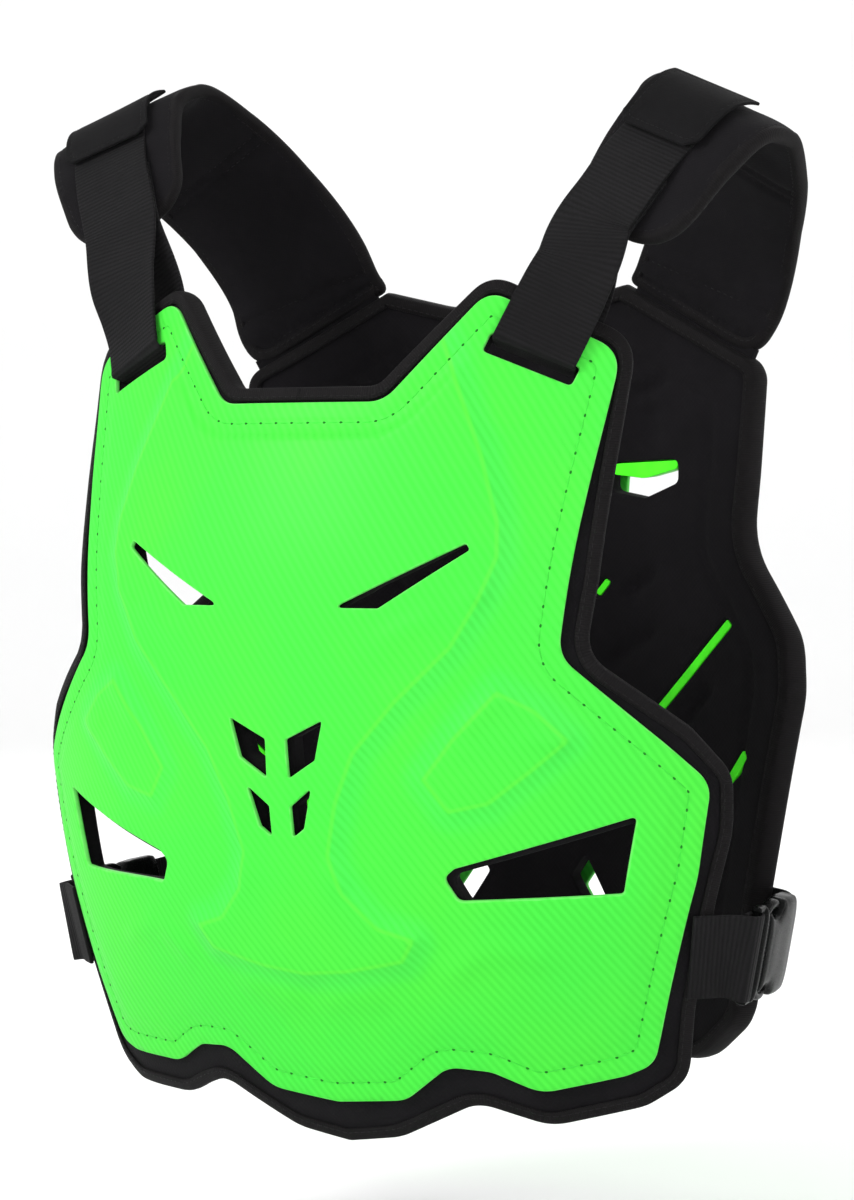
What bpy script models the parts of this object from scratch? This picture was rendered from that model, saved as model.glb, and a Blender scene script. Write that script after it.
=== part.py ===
"""Motorcycle armour vest: a moulded chest plate and back plate on padded liners, two padded
shoulder pads, webbing straps with side-release buckles at the waist.

Every sheet starts as a flat blank, is cut to its outline, and is then pressed on to the curved
body form, so each pattern can be read in its table as a flat shape."""
import math

import bmesh
import bpy
import numpy as np
from mathutils import Vector

# Overall sizes in metres
HALF_WIDTH = 0.200
HEIGHT = 0.400
DEPTH = 0.240
SHOULDER_DROP = 0.135
SHOULDER_BACK = 0.108

# Wall thicknesses and gaps in metres
PLATE = 0.003
LINER = 0.009
PAD = 0.009
GAP = 0.0003
SEAT_GAP = 0.0006
TAPE = 0.001
TAPE_LIP = 0.0072
WEBBING = 0.002
TAB = 0.0016

# Webbing and buckle sizes in metres
SHOULDER_WEB_WIDTH = 0.040
WAIST_WEB_WIDTH = 0.040
TAB_OVERHANG = 0.0035
WAIST_HEIGHT = -0.249
WAIST_LEAN = 0.24
BUCKLE_LENGTH = 0.060
BUCKLE_WIDTH = 0.046
BUCKLE_DEPTH = 0.012
PLUG_SHARE = 0.26
BUCKLE_BULGE = 0.006

# Cell sizes of the blanks, and the longest edge of a ring, in metres
CELL = 0.026
EDGE_STEP = 0.026
FILLET_STEPS = 2

# The flat facets of a cell stand off the curved form by about their sag, and a straight
# strip of webbing stands off it by its own, so the gaps that cover these grow with them.
FACET_SAG = CELL ** 2 * DEPTH / HEIGHT ** 2
TAPE_GAP = 0.5 * FACET_SAG
BACK_PLATE_GAP = 0.6 * FACET_SAG
FRONT_RADIUS = 1.30
STRAP_SAG = SHOULDER_WEB_WIDTH ** 2 / (8 * FRONT_RADIUS * HALF_WIDTH)
WIDE_GAP = 1.6 * STRAP_SAG
TAB_WIDTH = SHOULDER_WEB_WIDTH + 2 * TAB_OVERHANG

# The liner's border above the plate is wide enough for the tape, as shares of HEIGHT
NECK_MARGIN = (TAPE_LIP + 0.0012) / HEIGHT
TOP_MARGIN = (TAPE_LIP + 0.0020) / HEIGHT

# The slot for the shoulder webbing: its middle (shares of HALF_WIDTH and HEIGHT), the fall
# of its upper edge for each unit across, and in metres its height and its room at each end
SLOT_MIDDLE = (0.5418, 0.0465)
SLOT_FALL = 0.386
SLOT_HEIGHT = 0.0090
SLOT_ROOM = 0.0022
SLOT_CORNER = 0.0022

# Front plate outline, from the middle of the neckline to the middle of the hem.
# across (share of HALF_WIDTH), up (share of HEIGHT), corner radius (share of HALF_WIDTH)
FRONT_PLATE_EDGE = (
    (0.000, 0.000, 0.00),
    (0.215, 0.000, 0.08),
    (0.430, 0.125, 0.06),
    (0.742, 0.055, 0.08),
    (0.690, -0.140, 0.30),
    (0.656, -0.282, 0.08),
    (0.890, -0.380, 0.00),
    (0.990, -0.425, 0.07),
    (0.943, -0.530, 0.40),
    (0.775, -0.750, 0.08),
    (0.705, -0.764, 0.10),
    (0.505, -0.786, 0.10),
    (0.400, -0.762, 0.08),
    (0.300, -0.758, 0.08),
    (0.180, -0.803, 0.10),
    (0.000, -0.812, 0.00),
)

# Front liner outline, the same columns
FRONT_LINER_EDGE = (
    (0.000, NECK_MARGIN, 0.00),
    (0.190, NECK_MARGIN, 0.05),
    (0.425, 0.125 + TOP_MARGIN, 0.08),
    (0.778, 0.072, 0.11),
    (0.745, -0.200, 0.30),
    (0.720, -0.281, 0.09),
    (0.955, -0.362, 0.14),
    (1.050, -0.415, 0.09),
    (1.042, -0.480, 0.30),
    (0.895, -0.690, 0.30),
    (0.850, -0.775, 0.12),
    (0.740, -0.806, 0.16),
    (0.510, -0.832, 0.14),
    (0.350, -0.806, 0.10),
    (0.140, -0.856, 0.20),
    (0.000, -0.867, 0.00),
)

# Openings through the front plate, the same columns, given for the wearer's left half
UPPER_VENT = ((0.150, -0.231, 0.006), (0.442, -0.164, 0.006), (0.252, -0.231, 0.006))
CENTRE_VENT_A = ((0.121, -0.356, 0.004), (0.027, -0.379, 0.004), (0.029, -0.423, 0.004), (0.098, -0.401, 0.004))
CENTRE_VENT_B = ((0.084, -0.433, 0.004), (0.028, -0.455, 0.004), (0.028, -0.490, 0.004), (0.058, -0.479, 0.004))
SIDE_VENT = ((0.817, -0.460, 0.010), (0.772, -0.548, 0.010), (0.402, -0.558, 0.020), (0.374, -0.532, 0.020), (0.400, -0.521, 0.020))
FRONT_VENTS = (UPPER_VENT, CENTRE_VENT_A, CENTRE_VENT_B, SIDE_VENT)
# The liner is cut back further out behind the upper vent, so that light comes through it
UPPER_LINER_VENT = ((0.140, -0.234, 0.006), (0.452, -0.160, 0.006), (0.464, -0.167, 0.006), (0.318, -0.237, 0.006))
FRONT_LINER_VENTS = (UPPER_LINER_VENT, CENTRE_VENT_A, CENTRE_VENT_B, SIDE_VENT)
LINER_VENT_INSETS = (0.0, 0.0006, 0.0006, 0.0035)

# Back liner and back plate outlines, the same columns
BACK_LINER_EDGE = (
    (0.000, 0.132, 0.00),
    (0.170, 0.138, 0.25),
    (0.345, 0.158, 0.00),
    (0.745, 0.052, 0.07),
    (0.728, -0.080, 0.30),
    (0.712, -0.165, 0.20),
    (0.905, -0.275, 0.16),
    (0.925, -0.340, 0.20),
    (0.815, -0.580, 0.30),
    (0.765, -0.735, 0.16),
    (0.600, -0.800, 0.20),
    (0.350, -0.800, 0.14),
    (0.160, -0.838, 0.20),
    (0.000, -0.845, 0.00),
)
BACK_PLATE_EDGE = (
    (0.000, 0.085, 0.00),
    (0.170, 0.090, 0.20),
    (0.335, 0.108, 0.08),
    (0.655, 0.022, 0.10),
    (0.640, -0.080, 0.30),
    (0.624, -0.172, 0.15),
    (0.800, -0.280, 0.12),
    (0.820, -0.338, 0.14),
    (0.735, -0.560, 0.30),
    (0.685, -0.700, 0.12),
    (0.560, -0.752, 0.14),
    (0.360, -0.752, 0.12),
    (0.170, -0.790, 0.16),
    (0.000, -0.796, 0.00),
)
BACK_UPPER_SLOT = ((0.300, -0.062, 0.020), (0.500, -0.059, 0.020), (0.500, -0.088, 0.020), (0.392, -0.107, 0.020), (0.290, -0.098, 0.020))
BACK_LONG_SLOT = ((0.668, -0.254, 0.008), (0.690, -0.264, 0.008), (0.435, -0.378, 0.008), (0.413, -0.368, 0.008))
BACK_SHORT_SLOT = ((0.740, -0.410, 0.008), (0.762, -0.420, 0.008), (0.555, -0.540, 0.008), (0.533, -0.530, 0.008))
BACK_LOWER_VENT = ((0.125, -0.592, 0.012), (0.170, -0.562, 0.012), (0.290, -0.655, 0.012), (0.232, -0.672, 0.012))
BACK_NICK = ((0.262, -0.206, 0.008), (0.284, -0.212, 0.008), (0.244, -0.232, 0.008), (0.222, -0.226, 0.008))
BACK_LINER_VENTS = (BACK_UPPER_SLOT, BACK_LONG_SLOT, BACK_SHORT_SLOT, BACK_LOWER_VENT, BACK_NICK)
BACK_PLATE_VENTS = (BACK_UPPER_SLOT, BACK_LOWER_VENT)
BACK_PLATE_VENT_DROP = 0.006

# Front form: height (share of HEIGHT), distance behind the neckline (share of DEPTH)
FRONT_FORM = (
    (-0.870, 0.188), (-0.800, 0.137), (-0.750, 0.104), (-0.650, 0.034), (-0.550, -0.022), (-0.475, -0.048),
    (-0.375, -0.070), (-0.275, -0.078), (-0.200, -0.072), (-0.100, -0.042), (0.000, -0.001), (0.075, 0.028), (0.160, 0.061),
)
# The wearer's right lower corner of the chest hangs lower by this much, in metres
CORNER_SAG = 0.012

# Back form: height (share of HEIGHT), distance behind the neckline (share of DEPTH),
# fall towards the sides at one HALF_WIDTH out (share of DEPTH)
BACK_FORM = (
    (-0.870, 0.952, 0.480), (-0.700, 0.966, 0.465), (-0.550, 0.966, 0.435), (-0.400, 0.950, 0.385), (-0.300, 0.930, 0.335),
    (-0.118, 0.896, 0.225), (0.050, 0.862, 0.140), (0.160, 0.842, 0.100),
)

# Raised middle of both plates: a closed line (share of HALF_WIDTH, share of HEIGHT), its
# height and the width of its slope in metres
FRONT_RAISED = (
    (0.000, 0.060), (0.330, 0.055), (0.400, 0.000), (0.470, -0.078), (0.520, -0.160), (0.480, -0.220), (0.420, -0.272),
    (0.293, -0.335), (0.181, -0.397), (0.138, -0.458), (0.110, -0.521), (0.145, -0.556), (0.201, -0.588),
    (0.265, -0.605), (0.225, -0.632), (0.100, -0.645), (0.000, -0.650),
)
BACK_RAISED = (
    (0.000, 0.040), (0.250, 0.050), (0.430, 0.010), (0.470, -0.100), (0.430, -0.230), (0.520, -0.350), (0.480, -0.480),
    (0.330, -0.560), (0.250, -0.660), (0.000, -0.700),
)
RAISE_HEIGHT = 0.0032
RAISE_SLOPE = 0.010

# Shoulder pad path over the shoulder, from the back panel to the tongue in front.
# out (share of HALF_WIDTH), behind the neckline (share of DEPTH), up (share of HEIGHT),
# then the direction across the pad towards the arm
PAD_PATH = (
    (0.5425, 0.830, 0.1080, 0.882, -0.050, -0.469),
    (0.6080, 0.806, 0.1750, 0.884, -0.055, -0.464),
    (0.6950, 0.735, 0.2550, 0.888, -0.080, -0.452),
    (0.7800, 0.605, 0.3240, 0.892, -0.120, -0.436),
    (0.8250, 0.450, 0.3600, 0.896, -0.160, -0.414),
    (0.8150, 0.355, 0.3500, 0.915, -0.155, -0.370),
    (0.7650, 0.286, 0.3060, 0.955, -0.130, -0.265),
    (0.7020, 0.240, 0.2470, 0.980, -0.100, -0.170),
    (0.6600, 0.212, 0.2080, 0.986, -0.070, -0.150),
)
# How far each pad is posed up or down from that path, in metres, wearer's left and right
PAD_POSE = (-0.005, 0.005)
# Clear distance of the pad from the outline of the back panel, in metres
HINGE_GAP = 0.0010
# Pad outline: along the path (share of its length), out to the neck side and to the arm
# side (share of HALF_WIDTH), corner radius (share of HALF_WIDTH)
PAD_NECK_SIDE = ((0.000, 0.445, 0.02), (0.300, 0.405, 0.20), (0.580, 0.405, 0.20), (0.800, 0.360, 0.10), (1.000, 0.300, 0.14))
PAD_ARM_SIDE = ((0.000, 0.430, 0.09), (0.300, 0.385, 0.20), (0.580, 0.390, 0.20), (0.800, 0.360, 0.10), (1.000, 0.300, 0.14))
# Bend lines of the pad and the webbing on it, as shares of the pad's length, and where the
# tab, the webbing and its lower layer start and end among them
PAD_BENDS = (-0.05, 0.040, 0.120, 0.200, 0.280, 0.350, 0.410, 0.465, 0.520, 0.575, 0.630, 0.690, 0.750, 0.815, 0.880, 0.945, 1.05)
TAB_BENDS = (10, 13)
WEB_BENDS = (11, 17)
UNDER_BENDS = (14, 17)
# How far the webbing and its tab lie from the pad's middle line towards the arm, in metres
WEB_SHIFT = (-0.0065, 0.0010)

# Colours, linear red, green, blue and roughness
FINISH = {
    "green_plate": (0.085, 0.90, 0.085, 0.35),
    "foam_cloth": (0.012, 0.011, 0.013, 0.95),
    "binding_tape": (0.024, 0.020, 0.022, 0.85),
    "webbing": (0.018, 0.018, 0.018, 0.80),
    "buckle_plastic": (0.014, 0.014, 0.015, 0.35),
}


def clear_scene():
    for item in list(bpy.data.objects):
        bpy.data.objects.remove(item, do_unlink=True)
    for item in list(bpy.data.collections):
        bpy.data.collections.remove(item)


def new_collection(name):
    group = bpy.data.collections.new(name)
    bpy.context.scene.collection.children.link(group)
    return group


def new_material(name):
    red, green, blue, rough = FINISH[name]
    material = bpy.data.materials.new(name)
    material.use_nodes = True
    shader = material.node_tree.nodes["Principled BSDF"]
    shader.inputs["Base Color"].default_value = (red, green, blue, 1.0)
    shader.inputs["Roughness"].default_value = rough
    material.diffuse_color = (red, green, blue, 1.0)
    return material


def smooth_table(table, at):
    """Value columns of a table at the given places: a cubic curve through the rows, whose
    slope at a row is the mean slope of its two neighbours."""
    rows = np.array(sorted(table), dtype=float)
    x, y = rows[:, 0], rows[:, 1:]
    slope = np.gradient(y, x, axis=0)
    at = np.clip(np.asarray(at, dtype=float), x[0], x[-1])
    i = np.clip(np.searchsorted(x, at) - 1, 0, len(x) - 2)
    width = (x[i + 1] - x[i])[..., None]
    s = ((at - x[i])[..., None]) / width
    a = (1 + 2 * s) * (1 - s) ** 2
    b = s * (1 - s) ** 2 * width
    c = s * s * (3 - 2 * s)
    d = s * s * (s - 1) * width
    return a * y[i] + b * slope[i] + c * y[i + 1] + d * slope[i + 1]


def ramp(share):
    """Zero below 0, one above 1 and a smooth rise between."""
    share = np.clip(share, 0, 1)
    return share * share * (3 - 2 * share)


def front_point(u, z, t):
    """A point t outside the chest form: the form is a round arc across, of FRONT_RADIUS
    half widths, that slides back and forth with height as FRONT_FORM says."""
    radius = FRONT_RADIUS * HALF_WIDTH
    angle = u / radius
    back = smooth_table(FRONT_FORM, z / HEIGHT)[..., 0] * DEPTH
    rise = smooth_table(FRONT_FORM, (z + 0.001) / HEIGHT)[..., 0] * DEPTH - back
    slope = rise / 0.001
    x = radius * np.sin(angle)
    y = back + radius * (1 - np.cos(angle))
    normal = np.stack([np.sin(angle), -np.cos(angle), np.cos(angle) * slope], axis=-1)
    normal /= np.linalg.norm(normal, axis=-1)[..., None]
    hang = ramp((-u / HALF_WIDTH - 0.40) / 0.40) * ramp((-z / HEIGHT - 0.45) / 0.30)
    point = np.stack([x, y, z - CORNER_SAG * hang], axis=-1) + normal * np.asarray(t)[..., None]
    return settle(point)


def back_point(u, z, t):
    """A point t outside the back form: the middle line follows BACK_FORM and the form falls
    forward with the square of the distance out."""
    def depth_at(across, up):
        row = smooth_table(BACK_FORM, up / HEIGHT) * DEPTH
        return row[..., 0] - row[..., 1] * (across / HALF_WIDTH) ** 2
    step = 0.001
    y = depth_at(u, z)
    across_slope = (depth_at(u + step, z) - depth_at(u - step, z)) / (2 * step)
    up_slope = (depth_at(u, z + step) - depth_at(u, z - step)) / (2 * step)
    normal = np.stack([-across_slope, 1 + 0 * y, -up_slope], axis=-1)
    normal /= np.linalg.norm(normal, axis=-1)[..., None]
    point = np.stack([u, y, z + 0 * y], axis=-1) + normal * np.asarray(t)[..., None]
    return settle(point)


def settle(point):
    """Put the frame's origin at the shoulders."""
    return point - np.array([0.0, SHOULDER_BACK, SHOULDER_DROP])


def raised(u, z, line):
    """Moulded relief: full height inside the closed line, none outside it, and a smooth
    slope of RAISE_SLOPE between the two."""
    half = [(a * HALF_WIDTH, b * HEIGHT) for a, b in line]
    ring = np.array(half + [(-a, b) for a, b in reversed(half) if a > 0])
    nearest = np.full(u.shape, 1.0)
    inside = np.zeros(u.shape, dtype=bool)
    for k in range(len(ring)):
        a, b = ring[k], ring[(k + 1) % len(ring)]
        run = b - a
        share = np.clip(((u - a[0]) * run[0] + (z - a[1]) * run[1]) / (run @ run), 0, 1)
        nearest = np.minimum(nearest, np.hypot(u - a[0] - share * run[0], z - a[1] - share * run[1]))
        crosses = (a[1] > z) != (b[1] > z)
        rise = b[1] - a[1] if b[1] != a[1] else 1.0
        inside ^= crosses & (u < a[0] + (z - a[1]) * run[0] / rise)
    signed = np.where(inside, nearest, -nearest)
    return RAISE_HEIGHT * ramp(0.5 + signed / RAISE_SLOPE)


def front_plate_point(u, z, t):
    return front_point(u, z, t + GAP + raised(u, z, FRONT_RAISED))


def back_plate_point(u, z, t):
    return back_point(u, z, t + BACK_PLATE_GAP + raised(u, z, BACK_RAISED))


def half_outline(rows):
    return [(a * HALF_WIDTH, b * HEIGHT, r * HALF_WIDTH) for a, b, r in rows]


def full_outline(rows):
    """The whole outline of a table that gives its wearer's-left half."""
    right = half_outline(rows)
    left = [(-a, b, r) for a, b, r in reversed(right) if a > 1e-9]
    return round_corners(right + left)


def strap_slot():
    """The slot's four corners in the tables' columns, as wide as the webbing and its room."""
    run = Vector((1.0, -SLOT_FALL)).normalized() * (SHOULDER_WEB_WIDTH / 2 + SLOT_ROOM)
    rise = Vector((SLOT_FALL, 1.0)).normalized() * SLOT_HEIGHT / 2
    middle = Vector((SLOT_MIDDLE[0] * HALF_WIDTH, SLOT_MIDDLE[1] * HEIGHT))
    corners = (middle - run - rise, middle - run + rise, middle + run + rise, middle + run - rise)
    return tuple((p.x / HALF_WIDTH, p.y / HEIGHT, SLOT_CORNER / HALF_WIDTH) for p in corners)


def both_sides(rows, inset=0.0):
    """An opening on the wearer's left and its mirror on the right, made smaller by the inset."""
    right = half_outline(rows)
    if inset:
        corners = offset_outline([row[:2] for row in right], -inset, longest=4.0)
        right = [(a, b, row[2]) for (a, b), row in zip(corners, right)]
    left = [(-a, b, r) for a, b, r in reversed(right)]
    return [round_corners(right), round_corners(left)]


def round_corners(corners, steps=FILLET_STEPS):
    """Replace each corner that has a radius by a short arc of points."""
    points = []
    count = len(corners)
    for k in range(count):
        here = Vector(corners[k][:2])
        before = Vector(corners[k - 1][:2])
        after = Vector(corners[(k + 1) % count][:2])
        to_before, to_after = before - here, after - here
        turn = to_before.angle(to_after, math.pi)
        reach = corners[k][2] / math.tan(turn / 2) if turn > 1e-4 else 0.0
        limit = 0.48 * min(to_before.length, to_after.length)
        reach = min(reach, limit)
        if reach < 2e-4 or turn > 3.12:
            points.append((here.x, here.y))
            continue
        start = here + to_before.normalized() * reach
        end = here + to_after.normalized() * reach
        count_here = steps if turn < 2.6 else 2
        for i in range(count_here + 1):
            s = i / count_here
            p = start * (1 - s) ** 2 + here * (2 * s * (1 - s)) + end * s ** 2
            points.append((p.x, p.y))
    return points


def split_edges(points, step=EDGE_STEP):
    """Add points so that no edge of a closed outline is longer than the step."""
    result = []
    for k, point in enumerate(points):
        a, b = Vector(point), Vector(points[(k + 1) % len(points)])
        parts = max(1, math.ceil((b - a).length / step))
        result += [tuple(a.lerp(b, i / parts)) for i in range(parts)]
    return result


def offset_outline(points, distance, longest=1.6):
    """Move a closed outline outwards by the distance, inwards when it is negative."""
    loop = np.array(points)
    area = 0.5 * np.sum(loop[:, 0] * np.roll(loop[:, 1], -1) - np.roll(loop[:, 0], -1) * loop[:, 1])
    ahead = np.roll(loop, -1, axis=0) - loop
    ahead /= np.linalg.norm(ahead, axis=1)[:, None]
    behind = np.roll(ahead, 1, axis=0)
    side = np.sign(area)
    normal = np.stack([ahead[:, 1] + behind[:, 1], -ahead[:, 0] - behind[:, 0]], axis=1) * side
    length = np.linalg.norm(normal, axis=1)
    normal /= length[:, None]
    miter = np.minimum(2.0 / length, longest)
    return [tuple(p) for p in loop + normal * (distance * miter)[:, None]]


def evaluated_copy(item, name):
    """The finished mesh of an object with its modifiers, as a new mesh."""
    graph = bpy.context.evaluated_depsgraph_get()
    return bpy.data.meshes.new_from_object(item.evaluated_get(graph), depsgraph=graph)


def prism(name, loops, low, high):
    """A flat shape with holes, drawn as a filled 2D curve and extruded from low to high."""
    curve = bpy.data.curves.new(name + "_line", "CURVE")
    curve.dimensions = "2D"
    curve.fill_mode = "BOTH"
    curve.extrude = (high - low) / 2
    for loop in loops:
        spline = curve.splines.new("POLY")
        spline.points.add(len(loop) - 1)
        for k, (a, b) in enumerate(loop):
            spline.points[k].co = (a, b, 0.0, 1.0)
        spline.use_cyclic_u = True
    drawn = bpy.data.objects.new(name + "_line", curve)
    bpy.context.scene.collection.objects.link(drawn)
    bpy.context.view_layer.update()
    mesh = evaluated_copy(drawn, name)
    bpy.data.objects.remove(drawn, do_unlink=True)
    shape = bmesh.new()
    shape.from_mesh(mesh)
    bmesh.ops.remove_doubles(shape, verts=shape.verts, dist=1e-6)
    bmesh.ops.translate(shape, verts=shape.verts, vec=(0, 0, (high + low) / 2))
    bmesh.ops.recalc_face_normals(shape, faces=shape.faces)
    shape.to_mesh(mesh)
    shape.free()
    return mesh


def blank(loops, low, high, lines):
    """A flat sheet as thick as asked that covers the outline, with cell edges at the lines
    given for both directions. Sheets of one panel share their lines, so their bends match."""
    across, up = lines
    shape = bmesh.new()
    bmesh.ops.create_grid(shape, x_segments=len(across) - 1, y_segments=len(up) - 1, size=1.0)
    for vert in shape.verts:
        i = round((vert.co.x + 1) / 2 * (len(across) - 1))
        k = round((vert.co.y + 1) / 2 * (len(up) - 1))
        vert.co = Vector((across[i], up[k], high))
    bmesh.ops.triangulate(shape, faces=shape.faces, quad_method="FIXED")
    mesh = bpy.data.meshes.new("blank")
    shape.to_mesh(mesh)
    shape.free()
    sheet = bpy.data.objects.new("blank", mesh)
    bpy.context.scene.collection.objects.link(sheet)
    solid = sheet.modifiers.new("thickness", "SOLIDIFY")
    solid.thickness = high - low
    solid.offset = -1.0
    return sheet


def cell_lines(loops, cell):
    """Cell edges at whole multiples of the cell size, just past the outline both ways."""
    points = np.array(loops[0])
    first = np.floor(points.min(axis=0) / cell - 0.25).astype(int)
    last = np.ceil(points.max(axis=0) / cell + 0.25).astype(int)
    return [np.arange(a, b + 1) * cell for a, b in zip(first, last)]


def cut_sheet(name, loops, low, high, lines=None):
    """Cut the outline and its openings out of a blank."""
    sheet = blank(loops, low, high, lines or cell_lines(loops, CELL))
    cutter_mesh = prism(name + "_cutter", loops, low - 0.01, high + 0.01)
    cutter = bpy.data.objects.new(name + "_cutter", cutter_mesh)
    CUTTERS.objects.link(cutter)
    cutter.hide_render = True
    cutter.display_type = "WIRE"
    cut = sheet.modifiers.new("outline", "BOOLEAN")
    cut.operation = "INTERSECT"
    cut.solver = "EXACT"
    cut.object = cutter
    bpy.context.view_layer.update()
    mesh = evaluated_copy(sheet, name)
    bpy.data.objects.remove(sheet, do_unlink=True)
    bpy.data.objects.remove(cutter, do_unlink=True)
    return mesh


def folded_tape(name, edge, lip, inner_low, inner_high, thick):
    """A tape folded round the edge of a sheet: a U-shaped section carried round the outline."""
    section = (
        (0.0, inner_low - thick), (0.0, inner_high + thick), (-lip, inner_high + thick), (-lip, inner_high),
        (-thick, inner_high), (-thick, inner_low), (-lip, inner_low), (-lip, inner_low - thick),
    )
    shape = bmesh.new()
    rails = []
    for distance, height in section:
        loop = offset_outline(edge, distance) if distance else edge
        rails.append([shape.verts.new((a, b, height)) for a, b in loop])
    for k, rail in enumerate(rails):
        other = rails[(k + 1) % len(rails)]
        for i in range(len(rail)):
            j = (i + 1) % len(rail)
            shape.faces.new((rail[i], rail[j], other[j], other[i]))
    bmesh.ops.recalc_face_normals(shape, faces=shape.faces)
    mesh = bpy.data.meshes.new(name)
    shape.to_mesh(mesh)
    shape.free()
    return mesh


def press(name, mesh, form, material):
    """Press a flat mesh on to a form: across, up and out become a point in space."""
    shape = bmesh.new()
    shape.from_mesh(mesh)
    bmesh.ops.remove_doubles(shape, verts=shape.verts, dist=1e-5)
    bmesh.ops.triangulate(shape, faces=shape.faces)
    bmesh.ops.dissolve_degenerate(shape, edges=shape.edges, dist=1e-5)
    bmesh.ops.triangulate(shape, faces=shape.faces)
    shape.to_mesh(mesh)
    shape.free()
    flat = np.empty(len(mesh.vertices) * 3)
    mesh.vertices.foreach_get("co", flat)
    flat = flat.reshape(-1, 3)
    bent = form(flat[:, 0], flat[:, 1], flat[:, 2])
    mesh.vertices.foreach_set("co", bent.ravel())
    mesh.update()
    return finish(name, mesh, material)


def finish(name, mesh, material):
    """Put a finished mesh in the vest's collection with its normals facing out."""
    shape = bmesh.new()
    shape.from_mesh(mesh)
    bmesh.ops.recalc_face_normals(shape, faces=shape.faces)
    if shape.calc_volume(signed=True) < 0:
        bmesh.ops.reverse_faces(shape, faces=shape.faces)
    shape.to_mesh(mesh)
    shape.free()
    mesh.materials.clear()
    mesh.materials.append(MATERIALS[material])
    item = bpy.data.objects.new(name, mesh)
    VEST.objects.link(item)
    return item


def mirror(item):
    """Turn a piece of the wearer's left into one of the right."""
    mesh = item.data
    flat = np.empty(len(mesh.vertices) * 3)
    mesh.vertices.foreach_get("co", flat)
    flat = flat.reshape(-1, 3)
    flat[:, 0] *= -1
    mesh.vertices.foreach_set("co", flat.ravel())
    shape = bmesh.new()
    shape.from_mesh(mesh)
    bmesh.ops.reverse_faces(shape, faces=shape.faces)
    shape.to_mesh(mesh)
    shape.free()


class Path:
    """A ribbon's middle line in space with the direction across it."""

    def __init__(self, points, across, samples=400):
        points, across = np.array(points, dtype=float), np.array(across, dtype=float)
        steps = np.r_[0.0, np.cumsum(np.linalg.norm(np.diff(points, axis=0), axis=1))]
        fine = np.linspace(0, steps[-1], samples)
        table = np.column_stack([steps, points, across])
        rows = smooth_table([tuple(r) for r in table], fine)
        self.point, side = rows[:, :3], rows[:, 3:]
        self.at = np.r_[0.0, np.cumsum(np.linalg.norm(np.diff(self.point, axis=0), axis=1))]
        self.length = self.at[-1]
        ahead = np.gradient(self.point, self.at, axis=0)
        ahead /= np.linalg.norm(ahead, axis=1)[:, None]
        side = side - ahead * np.sum(side * ahead, axis=1)[:, None]
        self.side = side / np.linalg.norm(side, axis=1)[:, None]
        self.normal = np.cross(ahead, self.side)
        self.ahead = ahead

    def nearest(self, point):
        """How far along the path a point on it lies."""
        return self.at[np.argmin(np.linalg.norm(self.point - point, axis=1))]

    def place(self, s, w, t):
        """Points s along the path, w across it and t off its face."""
        def pick(rows):
            return np.stack([np.interp(s, self.at, rows[:, k]) for k in range(3)], axis=-1)
        before = np.minimum(s, 0)[..., None] * self.ahead[0]
        beyond = np.maximum(s - self.length, 0)[..., None] * self.ahead[-1]
        return pick(self.point) + before + beyond + pick(self.side) * w[..., None] + pick(self.normal) * np.asarray(t)[..., None]


def pad_path(pose):
    """The pad's middle line. It starts just beyond the binding along the slanting top edge
    of the back panel, in line with that panel, and then follows its table."""
    rows = np.array(PAD_PATH)
    points = settle(rows[:, :3] * np.array([HALF_WIDTH, DEPTH, HEIGHT]))
    points[:, 2] += pose * ramp(np.arange(len(rows)) / 3)
    neck, arm = [np.array([BACK_LINER_EDGE[k][0] * HALF_WIDTH, BACK_LINER_EDGE[k][1] * HEIGHT]) for k in (2, 3)]
    run = (arm - neck) / np.linalg.norm(arm - neck)
    up = np.array([-run[1], run[0]])
    middle = (arm + neck) / 2

    def on_back(place):
        return back_point(place[:1], place[1:], np.zeros(1))[0]

    near, beyond = middle + up * HINGE_GAP, middle + up * (HINGE_GAP + 0.009)
    side = on_back(near + run * 0.02) - on_back(near - run * 0.02)
    side /= np.linalg.norm(side)
    points = np.vstack([on_back(near), on_back(beyond), points[1:]])
    sides = np.vstack([side, side, rows[1:, 3:]])
    return Path(points, sides)


def pad_outline(path):
    arm = [(a * path.length, b * HALF_WIDTH / 2, r * HALF_WIDTH) for a, b, r in PAD_ARM_SIDE]
    neck = [(a * path.length, -b * HALF_WIDTH / 2, r * HALF_WIDTH) for a, b, r in PAD_NECK_SIDE]
    ring = neck + list(reversed(arm))
    return round_corners(ring)


def strip_blank(name, stations, half_width, thick):
    """A flat webbing strip cut into short lengths at the given stations."""
    shape = bmesh.new()
    rows = []
    for s in stations:
        rows.append([shape.verts.new((s, w, t)) for w, t in (
            (-half_width, 0.0), (half_width, 0.0), (half_width, thick), (-half_width, thick))])
    for a, b in zip(rows[:-1], rows[1:]):
        shape.faces.new((a[0], a[1], b[1], b[0]))
        shape.faces.new((a[3], b[3], b[2], a[2]))
        shape.faces.new((a[1], a[2], b[2], b[1]))
        shape.faces.new((a[0], b[0], b[3], a[3]))
    shape.faces.new(rows[0])
    shape.faces.new(rows[-1])
    bmesh.ops.triangulate(shape, faces=shape.faces, quad_method="FIXED")
    bmesh.ops.recalc_face_normals(shape, faces=shape.faces)
    mesh = bpy.data.meshes.new(name)
    shape.to_mesh(mesh)
    shape.free()
    return mesh


def tip_lift(bend):
    """Extra lift of the webbing where it turns off the rounded tip of the tongue."""
    return 0.0008 * max(0, bend - 14)


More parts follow.
